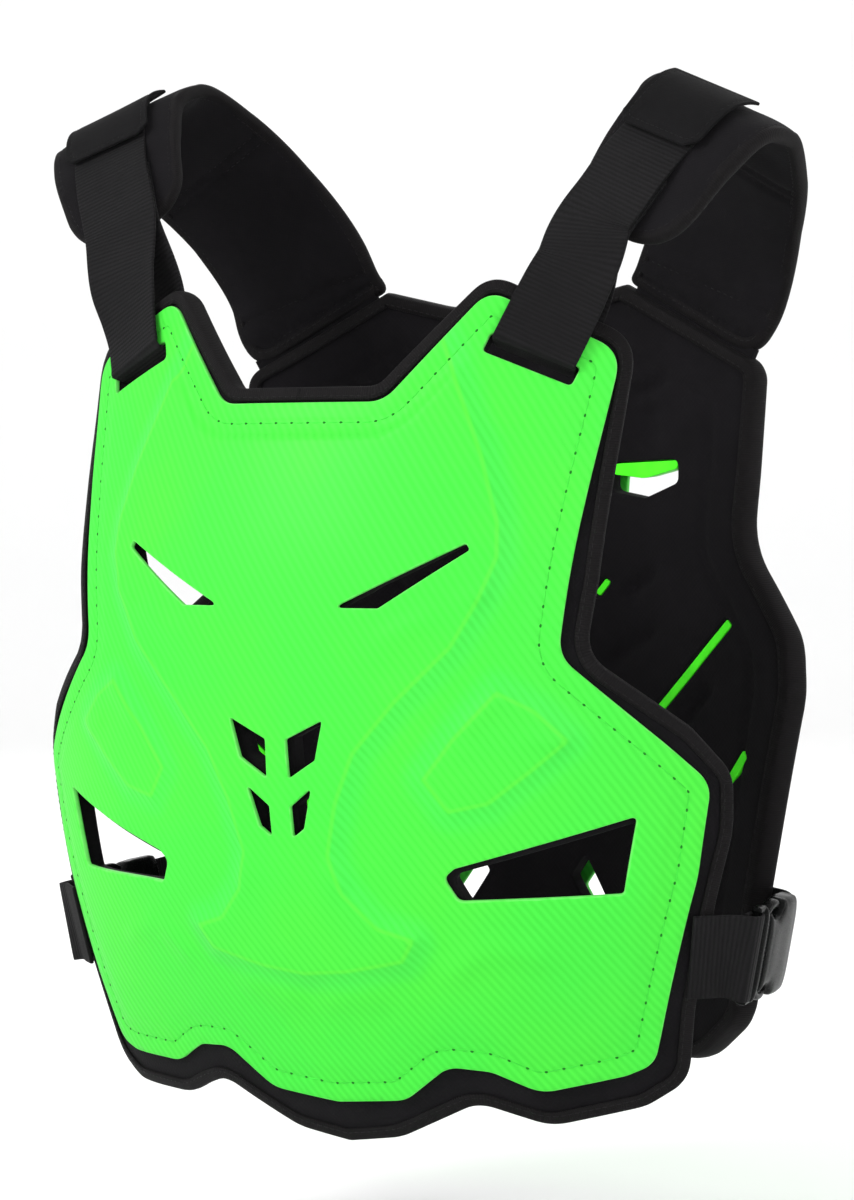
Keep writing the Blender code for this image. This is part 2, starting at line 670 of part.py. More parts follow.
def shoulder_strap_path(pad, shift):
    """The hairpin: down the outer face of the tongue, in front of the plate to the slot,
    round the strip of plate and liner above the slot, and back up on to the tongue."""
    one_up = TAPE_GAP + WEBBING * 0.5
    two_up = one_up + GAP + WEBBING
    points, across = [], []

    def add(point, side):
        points.append(point)
        across.append(side)

    def on_pad(bend, lift):
        s = np.array([min(PAD_BENDS[bend], 1.0) * pad.length])
        side = pad.place(s, np.array([0.01]), np.zeros(1))[0] - pad.place(s, np.zeros(1), np.zeros(1))[0]
        add(pad.place(s, np.array([shift]), np.array([lift]))[0], side / np.linalg.norm(side))

    slot = np.array([[a * HALF_WIDTH, b * HEIGHT] for a, b, _ in strap_slot()])
    high = (slot[1] + slot[2]) / 2
    run = slot[2] - slot[1]
    run /= np.linalg.norm(run)
    up = np.array([-run[1], run[0]])

    def on_panel(rise, out):
        """A point above or below the slot's upper edge, out from the chest form."""
        place = high + up * rise
        here = front_point(place[:1], place[1:], np.array([out]))[0]
        there = front_point(place[:1] + 0.01 * run[0], place[1:] + 0.01 * run[1], np.array([out]))[0]
        add(here, (there - here) / np.linalg.norm(there - here))

    outer = GAP + PLATE + 3 * GAP + WEBBING * 0.5
    inner = -LINER - TAPE_GAP - TAPE - WIDE_GAP - WEBBING * 0.5
    first, last = WEB_BENDS
    covered = UNDER_BENDS[0]
    for bend in range(first, last):
        share = np.clip(bend - covered + 1, 0, 1)
        on_pad(bend, one_up + share * (two_up - one_up) + tip_lift(bend))
    on_panel(0.040, outer + 0.0040)
    on_panel(0.026, outer + 0.0014)
    on_panel(0.013, outer + 0.0003)
    on_panel(0.003, outer)
    middle, radius = (outer + inner) / 2, (outer - inner) / 2
    for angle in (18, 50, 90, 130, 162):
        turn = math.radians(angle)
        on_panel(-WEBBING * 0.5 - GAP - 0.0006 * math.sin(turn), middle + radius * math.cos(turn))
    on_panel(0.003, inner)
    on_panel(0.013, inner)
    on_panel(0.026, inner - 0.0004)
    for bend in range(last - 1, covered - 1, -1):
        on_pad(bend, one_up + tip_lift(bend))
    return Path(points, across, samples=1600), points


def make_front():
    plate_loops = [full_outline(FRONT_PLATE_EDGE)]
    for vent in FRONT_VENTS + (strap_slot(),):
        plate_loops += both_sides(vent)
    flat = cut_sheet("front_plate", plate_loops, 0.0, PLATE)
    press("front_plate", flat, front_plate_point, "green_plate")

    edge = split_edges(full_outline(FRONT_LINER_EDGE))
    liner_loops = [offset_outline(edge, -TAPE - GAP)]
    for vent, inset in zip(FRONT_LINER_VENTS, LINER_VENT_INSETS):
        liner_loops += both_sides(vent, inset)
    liner_loops += both_sides(strap_slot())
    flat = cut_sheet("front_liner", liner_loops, -LINER, 0.0)
    press("front_liner", flat, front_point, "foam_cloth")
    make_binding("front_binding", edge, front_point)


def make_back():
    plate_loops = [full_outline(BACK_PLATE_EDGE)]
    for vent in BACK_PLATE_VENTS:
        for loop in both_sides(vent):
            plate_loops.append([(a, b - BACK_PLATE_VENT_DROP) for a, b in loop])
    flat = cut_sheet("back_plate", plate_loops, 0.0, PLATE)
    press("back_plate", flat, back_plate_point, "green_plate")

    edge = split_edges(full_outline(BACK_LINER_EDGE))
    liner_loops = [offset_outline(edge, -TAPE - GAP)]
    for vent in BACK_LINER_VENTS:
        liner_loops += both_sides(vent)
    flat = cut_sheet("back_liner", liner_loops, -LINER, 0.0)
    press("back_liner", flat, back_point, "foam_cloth")
    make_binding("back_binding", edge, back_point)


def make_binding(name, edge, form):
    flat = folded_tape(name, edge, TAPE_LIP, -LINER - TAPE_GAP, TAPE_GAP, TAPE)
    press(name, flat, form, "binding_tape")


def make_shoulders():
    for side, pose, shift in zip(("left", "right"), PAD_POSE, WEB_SHIFT):
        pad = pad_path(pose)
        bends = np.array(PAD_BENDS) * pad.length
        widest = max(row[1] for row in PAD_NECK_SIDE + PAD_ARM_SIDE) * HALF_WIDTH / 2
        lines = [bends, np.linspace(-1.05, 1.05, 5) * widest]
        flat = cut_sheet("shoulder_pad", [pad_outline(pad)], -PAD, 0.0, lines)
        pieces = [press("shoulder_pad_" + side, flat, pad.place, "foam_cloth")]

        strap, corners = shoulder_strap_path(pad, shift)
        stations = fill_in([strap.nearest(corner) for corner in corners], 0.016)
        flat = strip_blank("shoulder_strap", stations, SHOULDER_WEB_WIDTH / 2, WEBBING)
        form = lambda s, w, t, strap=strap: strap.place(s, w, t - WEBBING / 2)
        pieces.append(press("shoulder_strap_" + side, flat, form, "webbing"))

        first, last = TAB_BENDS
        flat = strip_blank("strap_tab", bends[first:last + 1], TAB_WIDTH / 2, TAB)
        form = lambda s, w, t, pad=pad, shift=shift: pad.place(s, w + shift, t + TAPE_GAP + WEBBING + 3 * GAP)
        pieces.append(press("strap_tab_" + side, flat, form, "webbing"))
        if side == "right":
            for item in pieces:
                mirror(item)


def fill_in(stations, step):
    """Add places so that no two neighbours are further apart than the step."""
    filled = [stations[0]]
    for a, b in zip(stations[:-1], stations[1:]):
        parts = math.ceil((b - a) / step)
        filled += [a + (b - a) * (i + 1) / parts for i in range(parts)]
    return filled


def bend_stations(path):
    """Places along a path, closer together where it bends."""
    angle = np.arccos(np.clip(np.sum(path.ahead[:-1] * path.ahead[1:], axis=1), -1, 1))
    cost = np.r_[0.0, np.cumsum(angle / math.radians(12) + np.diff(path.at) / 0.018)]
    count = max(4, int(round(cost[-1])))
    return np.interp(np.linspace(0, cost[-1], count + 1), cost, path.at)


def make_waist():
    """Webbing sewn on each panel, joined by a side-release buckle on each side."""
    for side, sign in (("left", 1.0), ("right", -1.0)):
        make_waist_side(side, sign)


def make_waist_side(side, sign):
    half = WAIST_WEB_WIDTH / 2
    z = WAIST_HEIGHT * HEIGHT / 0.400
    lift = TAPE_GAP + TAPE + SEAT_GAP + WEBBING / 2

    def on_form(form, u):
        """A point of the webbing's middle line on a panel, and the direction up across it."""
        step = 0.01
        rows = form(np.array([u, u - lean * step, u + lean * step]) * sign, z + np.array([0.0, -step, step]), np.full(3, lift))
        rows = rows * np.array([sign, 1.0, 1.0])
        up = rows[2] - rows[1]
        return rows[0], up / np.linalg.norm(up)

    lean = WAIST_LEAN
    start_u = edge_at(FRONT_PLATE_EDGE, z) + lean * half + 3 * GAP
    back_u = edge_at(BACK_PLATE_EDGE, z) + lean * half + 3 * GAP
    front_rows = [on_form(front_point, start_u + step) for step in (0.0, 0.009, 0.018)]
    back_rows = [on_form(back_point, back_u + step) for step in (0.018, 0.009, 0.0)]
    run = back_rows[0][0] - front_rows[-1][0]
    span = np.linalg.norm(run)
    run /= span
    up = front_rows[-1][1] + back_rows[0][1]
    up -= run * (up @ run)
    up /= np.linalg.norm(up)
    outward = np.cross(run, up)
    outward *= np.sign(outward[0])
    start = front_rows[-1][0] + run * (span - BUCKLE_LENGTH) * 0.30 + outward * BUCKLE_BULGE
    end = start + run * BUCKLE_LENGTH
    front_rows += [(start - run * 0.003, up), (start + run * 0.004, up)]
    back_rows = [(end - run * 0.004, up), (end + run * 0.003, up)] + back_rows
    front_path = Path([row[0] for row in front_rows], [-row[1] for row in front_rows])
    back_path = Path([row[0] for row in back_rows], [-row[1] for row in back_rows])
    pieces = []
    for name, path in (("waist_strap_front_", front_path), ("waist_strap_back_", back_path)):
        flat = strip_blank(name, bend_stations(path), half, WEBBING)
        form = lambda s, w, t, path=path: path.place(s, w, t - WEBBING / 2)
        pieces.append(press(name + side, flat, form, "webbing"))
    pieces += make_buckle(side, start, run, up, outward)
    if sign < 0:
        for item in pieces:
            mirror(item)


def edge_at(rows, z):
    """Half width of a panel's outline at a height."""
    loop = np.array(full_outline(rows))
    best = 0.0
    for k in range(len(loop)):
        a, b = loop[k], loop[(k + 1) % len(loop)]
        if (a[1] - z) * (b[1] - z) < 0:
            best = max(best, a[0] + (b[0] - a[0]) * (z - a[1]) / (b[1] - a[1]))
    return best


def make_buckle(side, start, run, up, outward):
    """Side-release buckle: a flat socket and a plug, each with a pocket for its webbing."""
    plug_length = BUCKLE_LENGTH * PLUG_SHARE
    hollow = WEBBING / 2 + 2 * GAP

    def to_world(a, b, c):
        return start + a[..., None] * run + b[..., None] * up + c[..., None] * outward

    half_width, half_depth = BUCKLE_WIDTH / 2, BUCKLE_DEPTH / 2
    slit = 0.0046
    outline = [(0.0, -half_width, 0.004), (plug_length - GAP, -half_width, 0.001), (plug_length - GAP, half_width, 0.001), (0.0, half_width, 0.004)]
    body = prism("plug", [round_corners(outline)], -half_depth * 0.7, half_depth * 0.7)
    pocket = [(-0.002, -WAIST_WEB_WIDTH / 2 - GAP), (slit, -WAIST_WEB_WIDTH / 2 - GAP), (slit, WAIST_WEB_WIDTH / 2 + GAP), (-0.002, WAIST_WEB_WIDTH / 2 + GAP)]
    plug = cut_pocket("buckle_plug", body, pocket, hollow)
    pieces = [press("buckle_plug_" + side, plug, to_world, "buckle_plastic")]

    length = BUCKLE_LENGTH
    waist = half_width * 0.86
    outline = [
        (plug_length, -waist, 0.002), (length * 0.42, -waist, 0.004), (length * 0.55, -half_width, 0.006), (length, -half_width, 0.005),
        (length, half_width, 0.005), (length * 0.55, half_width, 0.006), (length * 0.42, waist, 0.004), (plug_length, waist, 0.002),
    ]
    body = prism("socket", [round_corners(outline)], -half_depth, half_depth)
    pocket = [(length - slit, -WAIST_WEB_WIDTH / 2 - GAP), (length + 0.002, -WAIST_WEB_WIDTH / 2 - GAP), (length + 0.002, WAIST_WEB_WIDTH / 2 + GAP), (length - slit, WAIST_WEB_WIDTH / 2 + GAP)]
    socket = cut_pocket("buckle_socket", body, pocket, hollow)
    pieces.append(press("buckle_socket_" + side, socket, to_world, "buckle_plastic"))
    return pieces


def cut_pocket(name, body, pocket, hollow):
    """Take a flat pocket for the webbing out of a buckle half."""
    item = bpy.data.objects.new(name + "_body", body)
    bpy.context.scene.collection.objects.link(item)
    cutter = bpy.data.objects.new(name + "_pocket", prism(name + "_pocket", [pocket], -hollow, hollow))
    CUTTERS.objects.link(cutter)
    cutter.hide_render = True
    cutter.display_type = "WIRE"
    cut = item.modifiers.new("pocket", "BOOLEAN")
    cut.operation = "DIFFERENCE"
    cut.solver = "EXACT"
    cut.object = cutter
    bpy.context.view_layer.update()
    mesh = evaluated_copy(item, name)
    bpy.data.objects.remove(item, do_unlink=True)
    bpy.data.objects.remove(cutter, do_unlink=True)
    return mesh


clear_scene()
VEST = new_collection("armour_vest")
CUTTERS = new_collection("armour_vest_cutters")
MATERIALS = {name: new_material(name) for name in FINISH}
make_front()
make_back()
make_shoulders()
make_waist()
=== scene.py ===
# %% [markdown]
# # Motorcycle armour vest
# A chest and back protector: two moulded green plates sewn on foam liners, padded shoulder
# straps, and webbing with side-release buckles at the waist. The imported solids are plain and
# faceted. Here each one is replaced by a fine surface: a flat pattern, as a maker would cut
# it, that is pressed on to the body form by a formula. That way stitches, tapes and moulded
# ridges can all be placed on the flat pattern, in real sizes.

import math

import bpy
import numpy as np
from mathutils import Matrix, Vector
from mathutils.geometry import delaunay_2d_cdt


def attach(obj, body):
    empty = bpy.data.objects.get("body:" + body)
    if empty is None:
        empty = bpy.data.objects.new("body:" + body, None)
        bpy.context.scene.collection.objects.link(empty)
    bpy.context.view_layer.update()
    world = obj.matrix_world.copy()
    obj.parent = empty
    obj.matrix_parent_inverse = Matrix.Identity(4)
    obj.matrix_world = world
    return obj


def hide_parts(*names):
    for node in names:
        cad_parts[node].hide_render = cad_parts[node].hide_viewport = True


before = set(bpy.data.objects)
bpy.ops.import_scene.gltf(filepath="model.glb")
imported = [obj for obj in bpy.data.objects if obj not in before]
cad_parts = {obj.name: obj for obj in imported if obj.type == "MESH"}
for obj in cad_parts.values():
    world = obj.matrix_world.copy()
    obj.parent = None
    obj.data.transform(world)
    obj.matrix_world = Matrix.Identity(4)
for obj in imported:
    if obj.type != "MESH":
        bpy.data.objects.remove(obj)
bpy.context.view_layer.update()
MM = 0.001

# %% [markdown]
# ## The photographer's view
# The picture was taken from the wearer's front left, almost level, with a long lens. The
# camera is placed once from these numbers and nothing else depends on it.

# %% Camera
EYE = Vector((0.8125, -1.4002, -0.1751))
BACKWARD = Vector((0.4997, -0.8656, 0.0325)).normalized()
RIGHTWARD = Vector((0.8660, 0.5000, 0.0)).normalized()
UPWARD = BACKWARD.cross(RIGHTWARD)
SENSOR_HEIGHT = 36.0
FOCAL_LENGTH = 100.0

lens = bpy.data.cameras.new("camera")
lens.sensor_fit = "VERTICAL"
lens.sensor_height = SENSOR_HEIGHT
lens.lens = FOCAL_LENGTH
camera = bpy.data.objects.new("camera", lens)
turn = Matrix((RIGHTWARD, UPWARD, BACKWARD)).transposed().to_4x4()
camera.matrix_world = Matrix.Translation(EYE) @ turn
bpy.context.scene.collection.objects.link(camera)
bpy.context.scene.camera = camera
bpy.context.scene.view_settings.view_transform = "Standard"
print("camera at", tuple(round(v, 3) for v in EYE))

# %% [markdown]
# ## Light
# A pale studio sweep is a disc whose rim curves up to a wall: one profile turned about the
# middle, so every view has the same quiet background. The light is mostly the bright room.
# One large soft lamp above the camera's left gives the shine, a wide one on its right fills
# the shade, and two at the back draw the edges of the black cloth.

# %% Lamps and room
ROOM_COLOUR = (1.0, 1.0, 1.0, 1.0)
ROOM_STRENGTH = 0.95
LAMPS = (
    # name, place, energy in watts, size in metres
    ("key", (-1.1, -2.1, 1.1), 50.0, 1.1),
    ("fill", (1.9, -1.9, 0.2), 27.0, 1.6),
    ("back_left", (-1.3, 1.7, 0.9), 10.0, 0.9),
    ("back_right", (1.7, 1.5, 0.8), 10.0, 0.9),
)
AIM = Vector((0.0, 0.0, -0.23))

room = bpy.data.worlds.new("room")
room.use_nodes = True
room.node_tree.nodes["Background"].inputs["Color"].default_value = ROOM_COLOUR
room.node_tree.nodes["Background"].inputs["Strength"].default_value = ROOM_STRENGTH
bpy.context.scene.world = room
for lamp_name, place, energy, size in LAMPS:
    lamp = bpy.data.lights.new(lamp_name, "AREA")
    lamp.energy = energy
    lamp.size = size
    lamp_object = bpy.data.objects.new(lamp_name, lamp)
    lamp_object.location = place
    lamp_object.rotation_euler = (AIM - Vector(place)).to_track_quat("-Z", "Y").to_euler()
    bpy.context.scene.collection.objects.link(lamp_object)
print(len(LAMPS), "lamps")

# %% [markdown]
# ## Mesh helpers
# Every piece is worked out as whole arrays of points and faces. One helper puts them into a
# mesh, and gives it the flat pattern's coordinates as a UV map in metres, so that a weave
# follows the cloth wherever the cloth bends. Most faces are quads between one ring of
# points and the next.

# %% Put arrays into a mesh
def put_mesh(name, points, faces, pattern=None, marks=None):
    """A new object from an array of points and lists of faces. The optional pattern holds
    two flat coordinates of each point, and marks holds named numbers of each point."""
    mesh = bpy.data.meshes.new(name)
    corners = np.concatenate([block.ravel() for block in faces]).astype(np.int32)
    sizes = np.concatenate([np.full(len(block), block.shape[1]) for block in faces])
    starts = np.r_[0, np.cumsum(sizes)[:-1]].astype(np.int32)
    mesh.vertices.add(len(points))
    mesh.vertices.foreach_set("co", np.asarray(points, dtype=np.float32).ravel())
    mesh.loops.add(len(corners))
    mesh.loops.foreach_set("vertex_index", corners)
    mesh.polygons.add(len(sizes))
    mesh.polygons.foreach_set("loop_start", starts)
    mesh.update(calc_edges=True)
    mesh.polygons.foreach_set("use_smooth", np.full(len(sizes), True))
    if pattern is not None:
        layer = mesh.uv_layers.new(name="pattern")
        layer.uv.foreach_set("vector", np.asarray(pattern, dtype=np.float32)[corners].ravel())
    for mark, values in (marks or {}).items():
        store = mesh.attributes.new(mark, "FLOAT", "POINT")
        store.data.foreach_set("value", np.asarray(values, dtype=np.float32))
    mesh.validate()
    piece = bpy.data.objects.new(name, mesh)
    bpy.context.scene.collection.objects.link(piece)
    return piece


def quads(a, b, turned=False):
    """Quads between rings of point numbers, wound either way from the same corner."""
    corners = [a, b, np.roll(b, -1, axis=-1), np.roll(a, -1, axis=-1)]
    if turned:
        corners = corners[:1] + corners[:0:-1]
    return np.stack(corners, axis=-1).reshape(-1, 4)


def fan(middle, ring):
    """Triangles from one point to a ring of points."""
    return np.stack([np.full(len(ring), middle), ring, np.roll(ring, -1)], axis=1)


def faced_out(points, faces):
    """The face lists, all turned round where the closed mesh they make is inside out: the
    signed volume is the sum of one sixth of a dot (b cross c) over its triangles."""
    fans = [block[:, [0, k, k + 1]] for block in faces for k in range(1, block.shape[1] - 1)]
    a, b, c = (points[np.vstack(fans)[:, k]] for k in range(3))
    volume = np.sum(a * np.cross(b, c)) / 6
    return [block[:, ::-1] for block in faces] if volume < 0 else faces


def full_turn(steps):
    """Even angles once round."""
    return np.linspace(0, 2 * math.pi, steps, endpoint=False)


def keep_piece(piece, slot, material, *nodes):
    """Fasten a finished piece to the vest and give it its material."""
    piece.data.materials.clear()
    piece.data.materials.append(material)
    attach(piece, "root")
    if nodes:
        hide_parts(*nodes)
    print(f"{piece.name}: {len(piece.data.polygons)} faces")


# %% Studio sweep
SWEEP_FLOOR = -0.545
SWEEP_SIDES = 96
SWEEP_PROFILE = (
    # radius, height above the floor
    (1.2, 0.0), (2.4, 0.0), (3.0, 0.04), (3.6, 0.22), (4.1, 0.62), (4.4, 1.2), (4.5, 2.0), (4.5, 3.0),
)
PAPER = {"Base Color": (0.90, 0.90, 0.90, 1.0), "Roughness": 0.9, "Specular IOR Level": 0.1}


def turned_sweep(profile):
    """A profile of (radius, height) turned about the upright axis, and the floor's middle."""
    radius, height = np.array(profile).T[..., None]
    angle = full_turn(SWEEP_SIDES)
    places = radius * np.cos(angle), radius * np.sin(angle), height
    rings = np.stack(np.broadcast_arrays(*places), axis=-1)
    points = np.vstack([[0, 0, 0], rings.reshape(-1, 3)]) + [0, 0, SWEEP_FLOOR]
    ring = 1 + np.arange(len(profile) * SWEEP_SIDES).reshape(-1, SWEEP_SIDES)
    return points, [fan(0, ring[0]), quads(ring[:-1], ring[1:])]


sweep = put_mesh("studio_sweep", *turned_sweep(SWEEP_PROFILE))
paper = bpy.data.materials.new("studio_paper")
paper.use_nodes = True
for socket, value in PAPER.items():
    paper.node_tree.nodes["Principled BSDF"].inputs[socket].default_value = value
sweep.data.materials.append(paper)

# %% [markdown]
# ## The body forms
# The chest panel hangs on a round arc across, whose depth changes with height. The back
# panel's middle line is nearly straight and the panel falls forward with the square of the
# distance out. Both are functions of two pattern coordinates, u across and z up, and of t,
# the distance outwards. These are the same formulas and tables as in the solids.

# %% Sizes and the two forms
HALF_WIDTH = 0.200
HEIGHT = 0.400
DEPTH = 0.240
SHOULDER_DROP = 0.135
SHOULDER_BACK = 0.108
NECKLINE = np.array([0.0, -SHOULDER_BACK, -SHOULDER_DROP])
FRONT_RADIUS = 1.30 * HALF_WIDTH
CORNER_SAG = 0.012
# where the hanging corner starts and over how much it grows: across, down
CORNER_FROM = (0.40, 0.45)
CORNER_OVER = (0.40, 0.30)
PLATE = 3.0 * MM
LINER = 9.0 * MM
PAD = 9.0 * MM
WEBBING = 2.0 * MM
TAB = 1.6 * MM
TAPE = 1.0 * MM
GAP = 0.3 * MM
CELL = 26.0 * MM
SHOULDER_WEB = 40.0 * MM
FACET_SAG = CELL ** 2 * DEPTH / HEIGHT ** 2
TAPE_GAP = 0.5 * FACET_SAG
BACK_PLATE_GAP = 0.6 * FACET_SAG
WIDE_GAP = 1.6 * SHOULDER_WEB ** 2 / (8 * FRONT_RADIUS)
MIRROR = {"left": 1.0, "right": -1.0}

FRONT_FORM = (
    # height (share of HEIGHT), distance behind the neckline (share of DEPTH)
    (-0.870, 0.188), (-0.800, 0.137), (-0.750, 0.104), (-0.650, 0.034), (-0.550, -0.022),
    (-0.475, -0.048), (-0.375, -0.070), (-0.275, -0.078), (-0.200, -0.072), (-0.100, -0.042),
    (0.000, -0.001), (0.075, 0.028), (0.160, 0.061),
)
BACK_FORM = (
    # height, distance behind the neckline, fall forward at one HALF_WIDTH out
    (-0.870, 0.952, 0.480), (-0.700, 0.966, 0.465), (-0.550, 0.966, 0.435), (-0.400, 0.950, 0.385),
    (-0.300, 0.930, 0.335), (-0.118, 0.896, 0.225), (0.050, 0.862, 0.140), (0.160, 0.842, 0.100),
)


def smooth_table(table, at):
    """Value columns of a table at the given places: a cubic curve through the rows, whose
    slope at a row is the mean slope of its two neighbours."""
    rows = np.array(sorted(table), dtype=float)
    x, y = rows[:, 0], rows[:, 1:]
    slope = np.gradient(y, x, axis=0)
    at = np.clip(np.asarray(at, dtype=float), x[0], x[-1])
    i = np.clip(np.searchsorted(x, at) - 1, 0, len(x) - 2)
    width = (x[i + 1] - x[i])[..., None]
    s = ((at - x[i])[..., None]) / width
    a = (1 + 2 * s) * (1 - s) ** 2
    b = s * (1 - s) ** 2 * width
    c = s * s * (3 - 2 * s)
    d = s * s * (s - 1) * width
    return a * y[i] + b * slope[i] + c * y[i + 1] + d * slope[i + 1]


def ramp(share):
    """Zero below 0, one above 1 and a smooth rise between."""
    share = np.clip(share, 0, 1)
    return share * share * (3 - 2 * share)


def bell(distance, width):
    """One at zero, falling off on both sides."""
    return np.exp(-(distance / width) ** 2)


def unit(rows):
    return rows / np.linalg.norm(rows, axis=-1, keepdims=True)


def mirrored(points, sign):
    return points * [sign, 1.0, 1.0]


def front_point(u, z, t):
    """Chest form: a round arc across, slid back by FRONT_FORM, plus t along its normal. The
    lower corner on the wearer's right hangs a little."""
    angle = u / FRONT_RADIUS
    back = smooth_table(FRONT_FORM, z / HEIGHT)[..., 0] * DEPTH
    slope = (smooth_table(FRONT_FORM, (z + MM) / HEIGHT)[..., 0] * DEPTH - back) / MM
    normal = unit(np.stack([np.sin(angle), -np.cos(angle), np.cos(angle) * slope], axis=-1))
    shares = -u / HALF_WIDTH, -z / HEIGHT
    out, down = (ramp((share - CORNER_FROM[k]) / CORNER_OVER[k]) for k, share in enumerate(shares))
    y = back + FRONT_RADIUS * (1 - np.cos(angle))
    base = np.stack([FRONT_RADIUS * np.sin(angle), y, z - CORNER_SAG * (out * down)], axis=-1)
    return base + normal * np.asarray(t)[..., None] + NECKLINE


def back_point(u, z, t):
    """Back form: BACK_FORM's depth less its fall times the square of the distance out."""
    def depth_at(across, up):
        row = smooth_table(BACK_FORM, up / HEIGHT) * DEPTH
        return row[..., 0] - row[..., 1] * (across / HALF_WIDTH) ** 2

    across_slope = (depth_at(u + MM, z) - depth_at(u - MM, z)) / (2 * MM)
    up_slope = (depth_at(u, z + MM) - depth_at(u, z - MM)) / (2 * MM)
    y = depth_at(u, z)
    normal = unit(np.stack([-across_slope, 1 + 0 * y, -up_slope], axis=-1))
    base = np.stack([u, y, z + 0 * y], axis=-1)
    return base + normal * np.asarray(t)[..., None] + NECKLINE


breastbone = front_point(np.array([0.0]), np.array([-0.1]), 0.0)
print("chest at the breastbone:", np.round(breastbone, 3).tolist())

# %% [markdown]
# ## Pattern outlines
# Each panel is symmetric, so its table gives the wearer's left half from the middle of the
# neckline to the middle of the hem: across (share of HALF_WIDTH), up (share of HEIGHT) and
# corner radius (share of HALF_WIDTH). A helper mirrors it, rounds the corners and spaces
# the points evenly. The loop runs with the material on its left, for outlines and holes
# alike, so "outwards" always means away from the material.

# %% Outline tables
FRONT_PLATE_EDGE = (
    (0.000, 0.000, 0.00), (0.215, 0.000, 0.08), (0.430, 0.125, 0.06), (0.742, 0.055, 0.08),
    (0.690, -0.140, 0.30), (0.656, -0.282, 0.08), (0.890, -0.380, 0.00), (0.990, -0.425, 0.07),
    (0.943, -0.530, 0.40), (0.775, -0.750, 0.08), (0.705, -0.764, 0.10), (0.505, -0.786, 0.10),
    (0.400, -0.762, 0.08), (0.300, -0.758, 0.08), (0.180, -0.803, 0.10), (0.000, -0.812, 0.00),
)
FRONT_LINER_EDGE = (
    (0.000, 0.021, 0.00), (0.190, 0.021, 0.05), (0.425, 0.148, 0.08), (0.778, 0.072, 0.11),
    (0.745, -0.200, 0.30), (0.720, -0.281, 0.09), (0.955, -0.362, 0.14), (1.050, -0.415, 0.09),
    (1.042, -0.480, 0.30), (0.895, -0.690, 0.30), (0.850, -0.775, 0.12), (0.740, -0.806, 0.16),
    (0.510, -0.832, 0.14), (0.350, -0.806, 0.10), (0.140, -0.856, 0.20), (0.000, -0.867, 0.00),
)
BACK_LINER_EDGE = (
    (0.000, 0.132, 0.00), (0.170, 0.138, 0.25), (0.345, 0.158, 0.00), (0.745, 0.052, 0.07),
    (0.728, -0.080, 0.30), (0.712, -0.165, 0.20), (0.905, -0.275, 0.16), (0.925, -0.340, 0.20),
    (0.815, -0.580, 0.30), (0.765, -0.735, 0.16), (0.600, -0.800, 0.20), (0.350, -0.800, 0.14),
    (0.160, -0.838, 0.20), (0.000, -0.845, 0.00),
)
BACK_PLATE_EDGE = (
    (0.000, 0.085, 0.00), (0.170, 0.090, 0.20), (0.335, 0.108, 0.08), (0.655, 0.022, 0.10),
    (0.640, -0.080, 0.30), (0.624, -0.172, 0.15), (0.800, -0.280, 0.12), (0.820, -0.338, 0.14),
    (0.735, -0.560, 0.30), (0.685, -0.700, 0.12), (0.560, -0.752, 0.14), (0.360, -0.752, 0.12),
    (0.170, -0.790, 0.16), (0.000, -0.796, 0.00),
)


def cut(radius, *corners):
    """An opening's table: corners (across, up), all with one radius."""
    return tuple(corner + (radius,) for corner in corners)


UPPER_VENT = cut(0.006, (0.150, -0.231), (0.446, -0.160), (0.456, -0.167), (0.256, -0.231))
CENTRE_VENT_A = cut(0.004, (0.121, -0.356), (0.027, -0.379), (0.029, -0.423), (0.098, -0.401))
CENTRE_VENT_B = cut(0.004, (0.084, -0.433), (0.028, -0.455), (0.028, -0.490), (0.058, -0.479))
SIDE_VENT = cut(0.010, (0.817, -0.460), (0.772, -0.548))
SIDE_VENT += cut(0.020, (0.402, -0.558), (0.374, -0.532), (0.400, -0.521))
UPPER_LINER_VENT = cut(0.006, (0.110, -0.240), (0.458, -0.152), (0.498, -0.166), (0.425, -0.241))
SIDE_LINER_VENT = cut(0.010, (0.852, -0.464), (0.812, -0.556))
SIDE_LINER_VENT += cut(0.020, (0.424, -0.566), (0.396, -0.537), (0.410, -0.528))
BACK_UPPER_SLOT = cut(
    0.020, (0.300, -0.062), (0.500, -0.059), (0.500, -0.088), (0.392, -0.107), (0.290, -0.098))
BACK_LONG_SLOT = cut(0.008, (0.668, -0.254), (0.690, -0.264), (0.435, -0.378), (0.413, -0.368))
BACK_SHORT_SLOT = cut(0.008, (0.740, -0.410), (0.762, -0.420), (0.555, -0.540), (0.533, -0.530))
BACK_LOWER_VENT = cut(0.012, (0.125, -0.592), (0.170, -0.562), (0.290, -0.655), (0.232, -0.672))
BACK_NICK = cut(0.008, (0.262, -0.206), (0.284, -0.212), (0.244, -0.232), (0.222, -0.226))
SLOT_MIDDLE = np.array([0.5418, 0.0465])
SLOT_FALL = 0.386
SLOT_HEIGHT = 9.0 * MM
SLOT_ROOM = 2.2 * MM
SLOT_CORNER = 2.2 * MM
BACK_PLATE_VENT_DROP = 6.0 * MM
CENTRE_VENT_INSET = 0.6 * MM


# %% Outline helpers
CORNER_STEPS = 10
CORNER_SHARE = 0.48
SMALLEST_REACH = 1e-5
LONGEST_MITRE = 1.5
VENT_MITRE = 4.0
FEWEST_POINTS = 12
ON_MIDDLE = 1e-9


def run_length(line):
    """Distance along an open line to each of its points."""
    return np.r_[0, np.cumsum(np.linalg.norm(np.diff(line, axis=0), axis=1))]


def picked(wanted, at, rows):
    """Rows that are given at some places, read at other places between them."""
    return np.stack([np.interp(wanted, at, column) for column in rows.T], axis=-1)


def left_of(run):
    """A direction on the pattern turned a quarter to the left."""
    return np.stack([-run[..., 1], run[..., 0]], axis=-1)


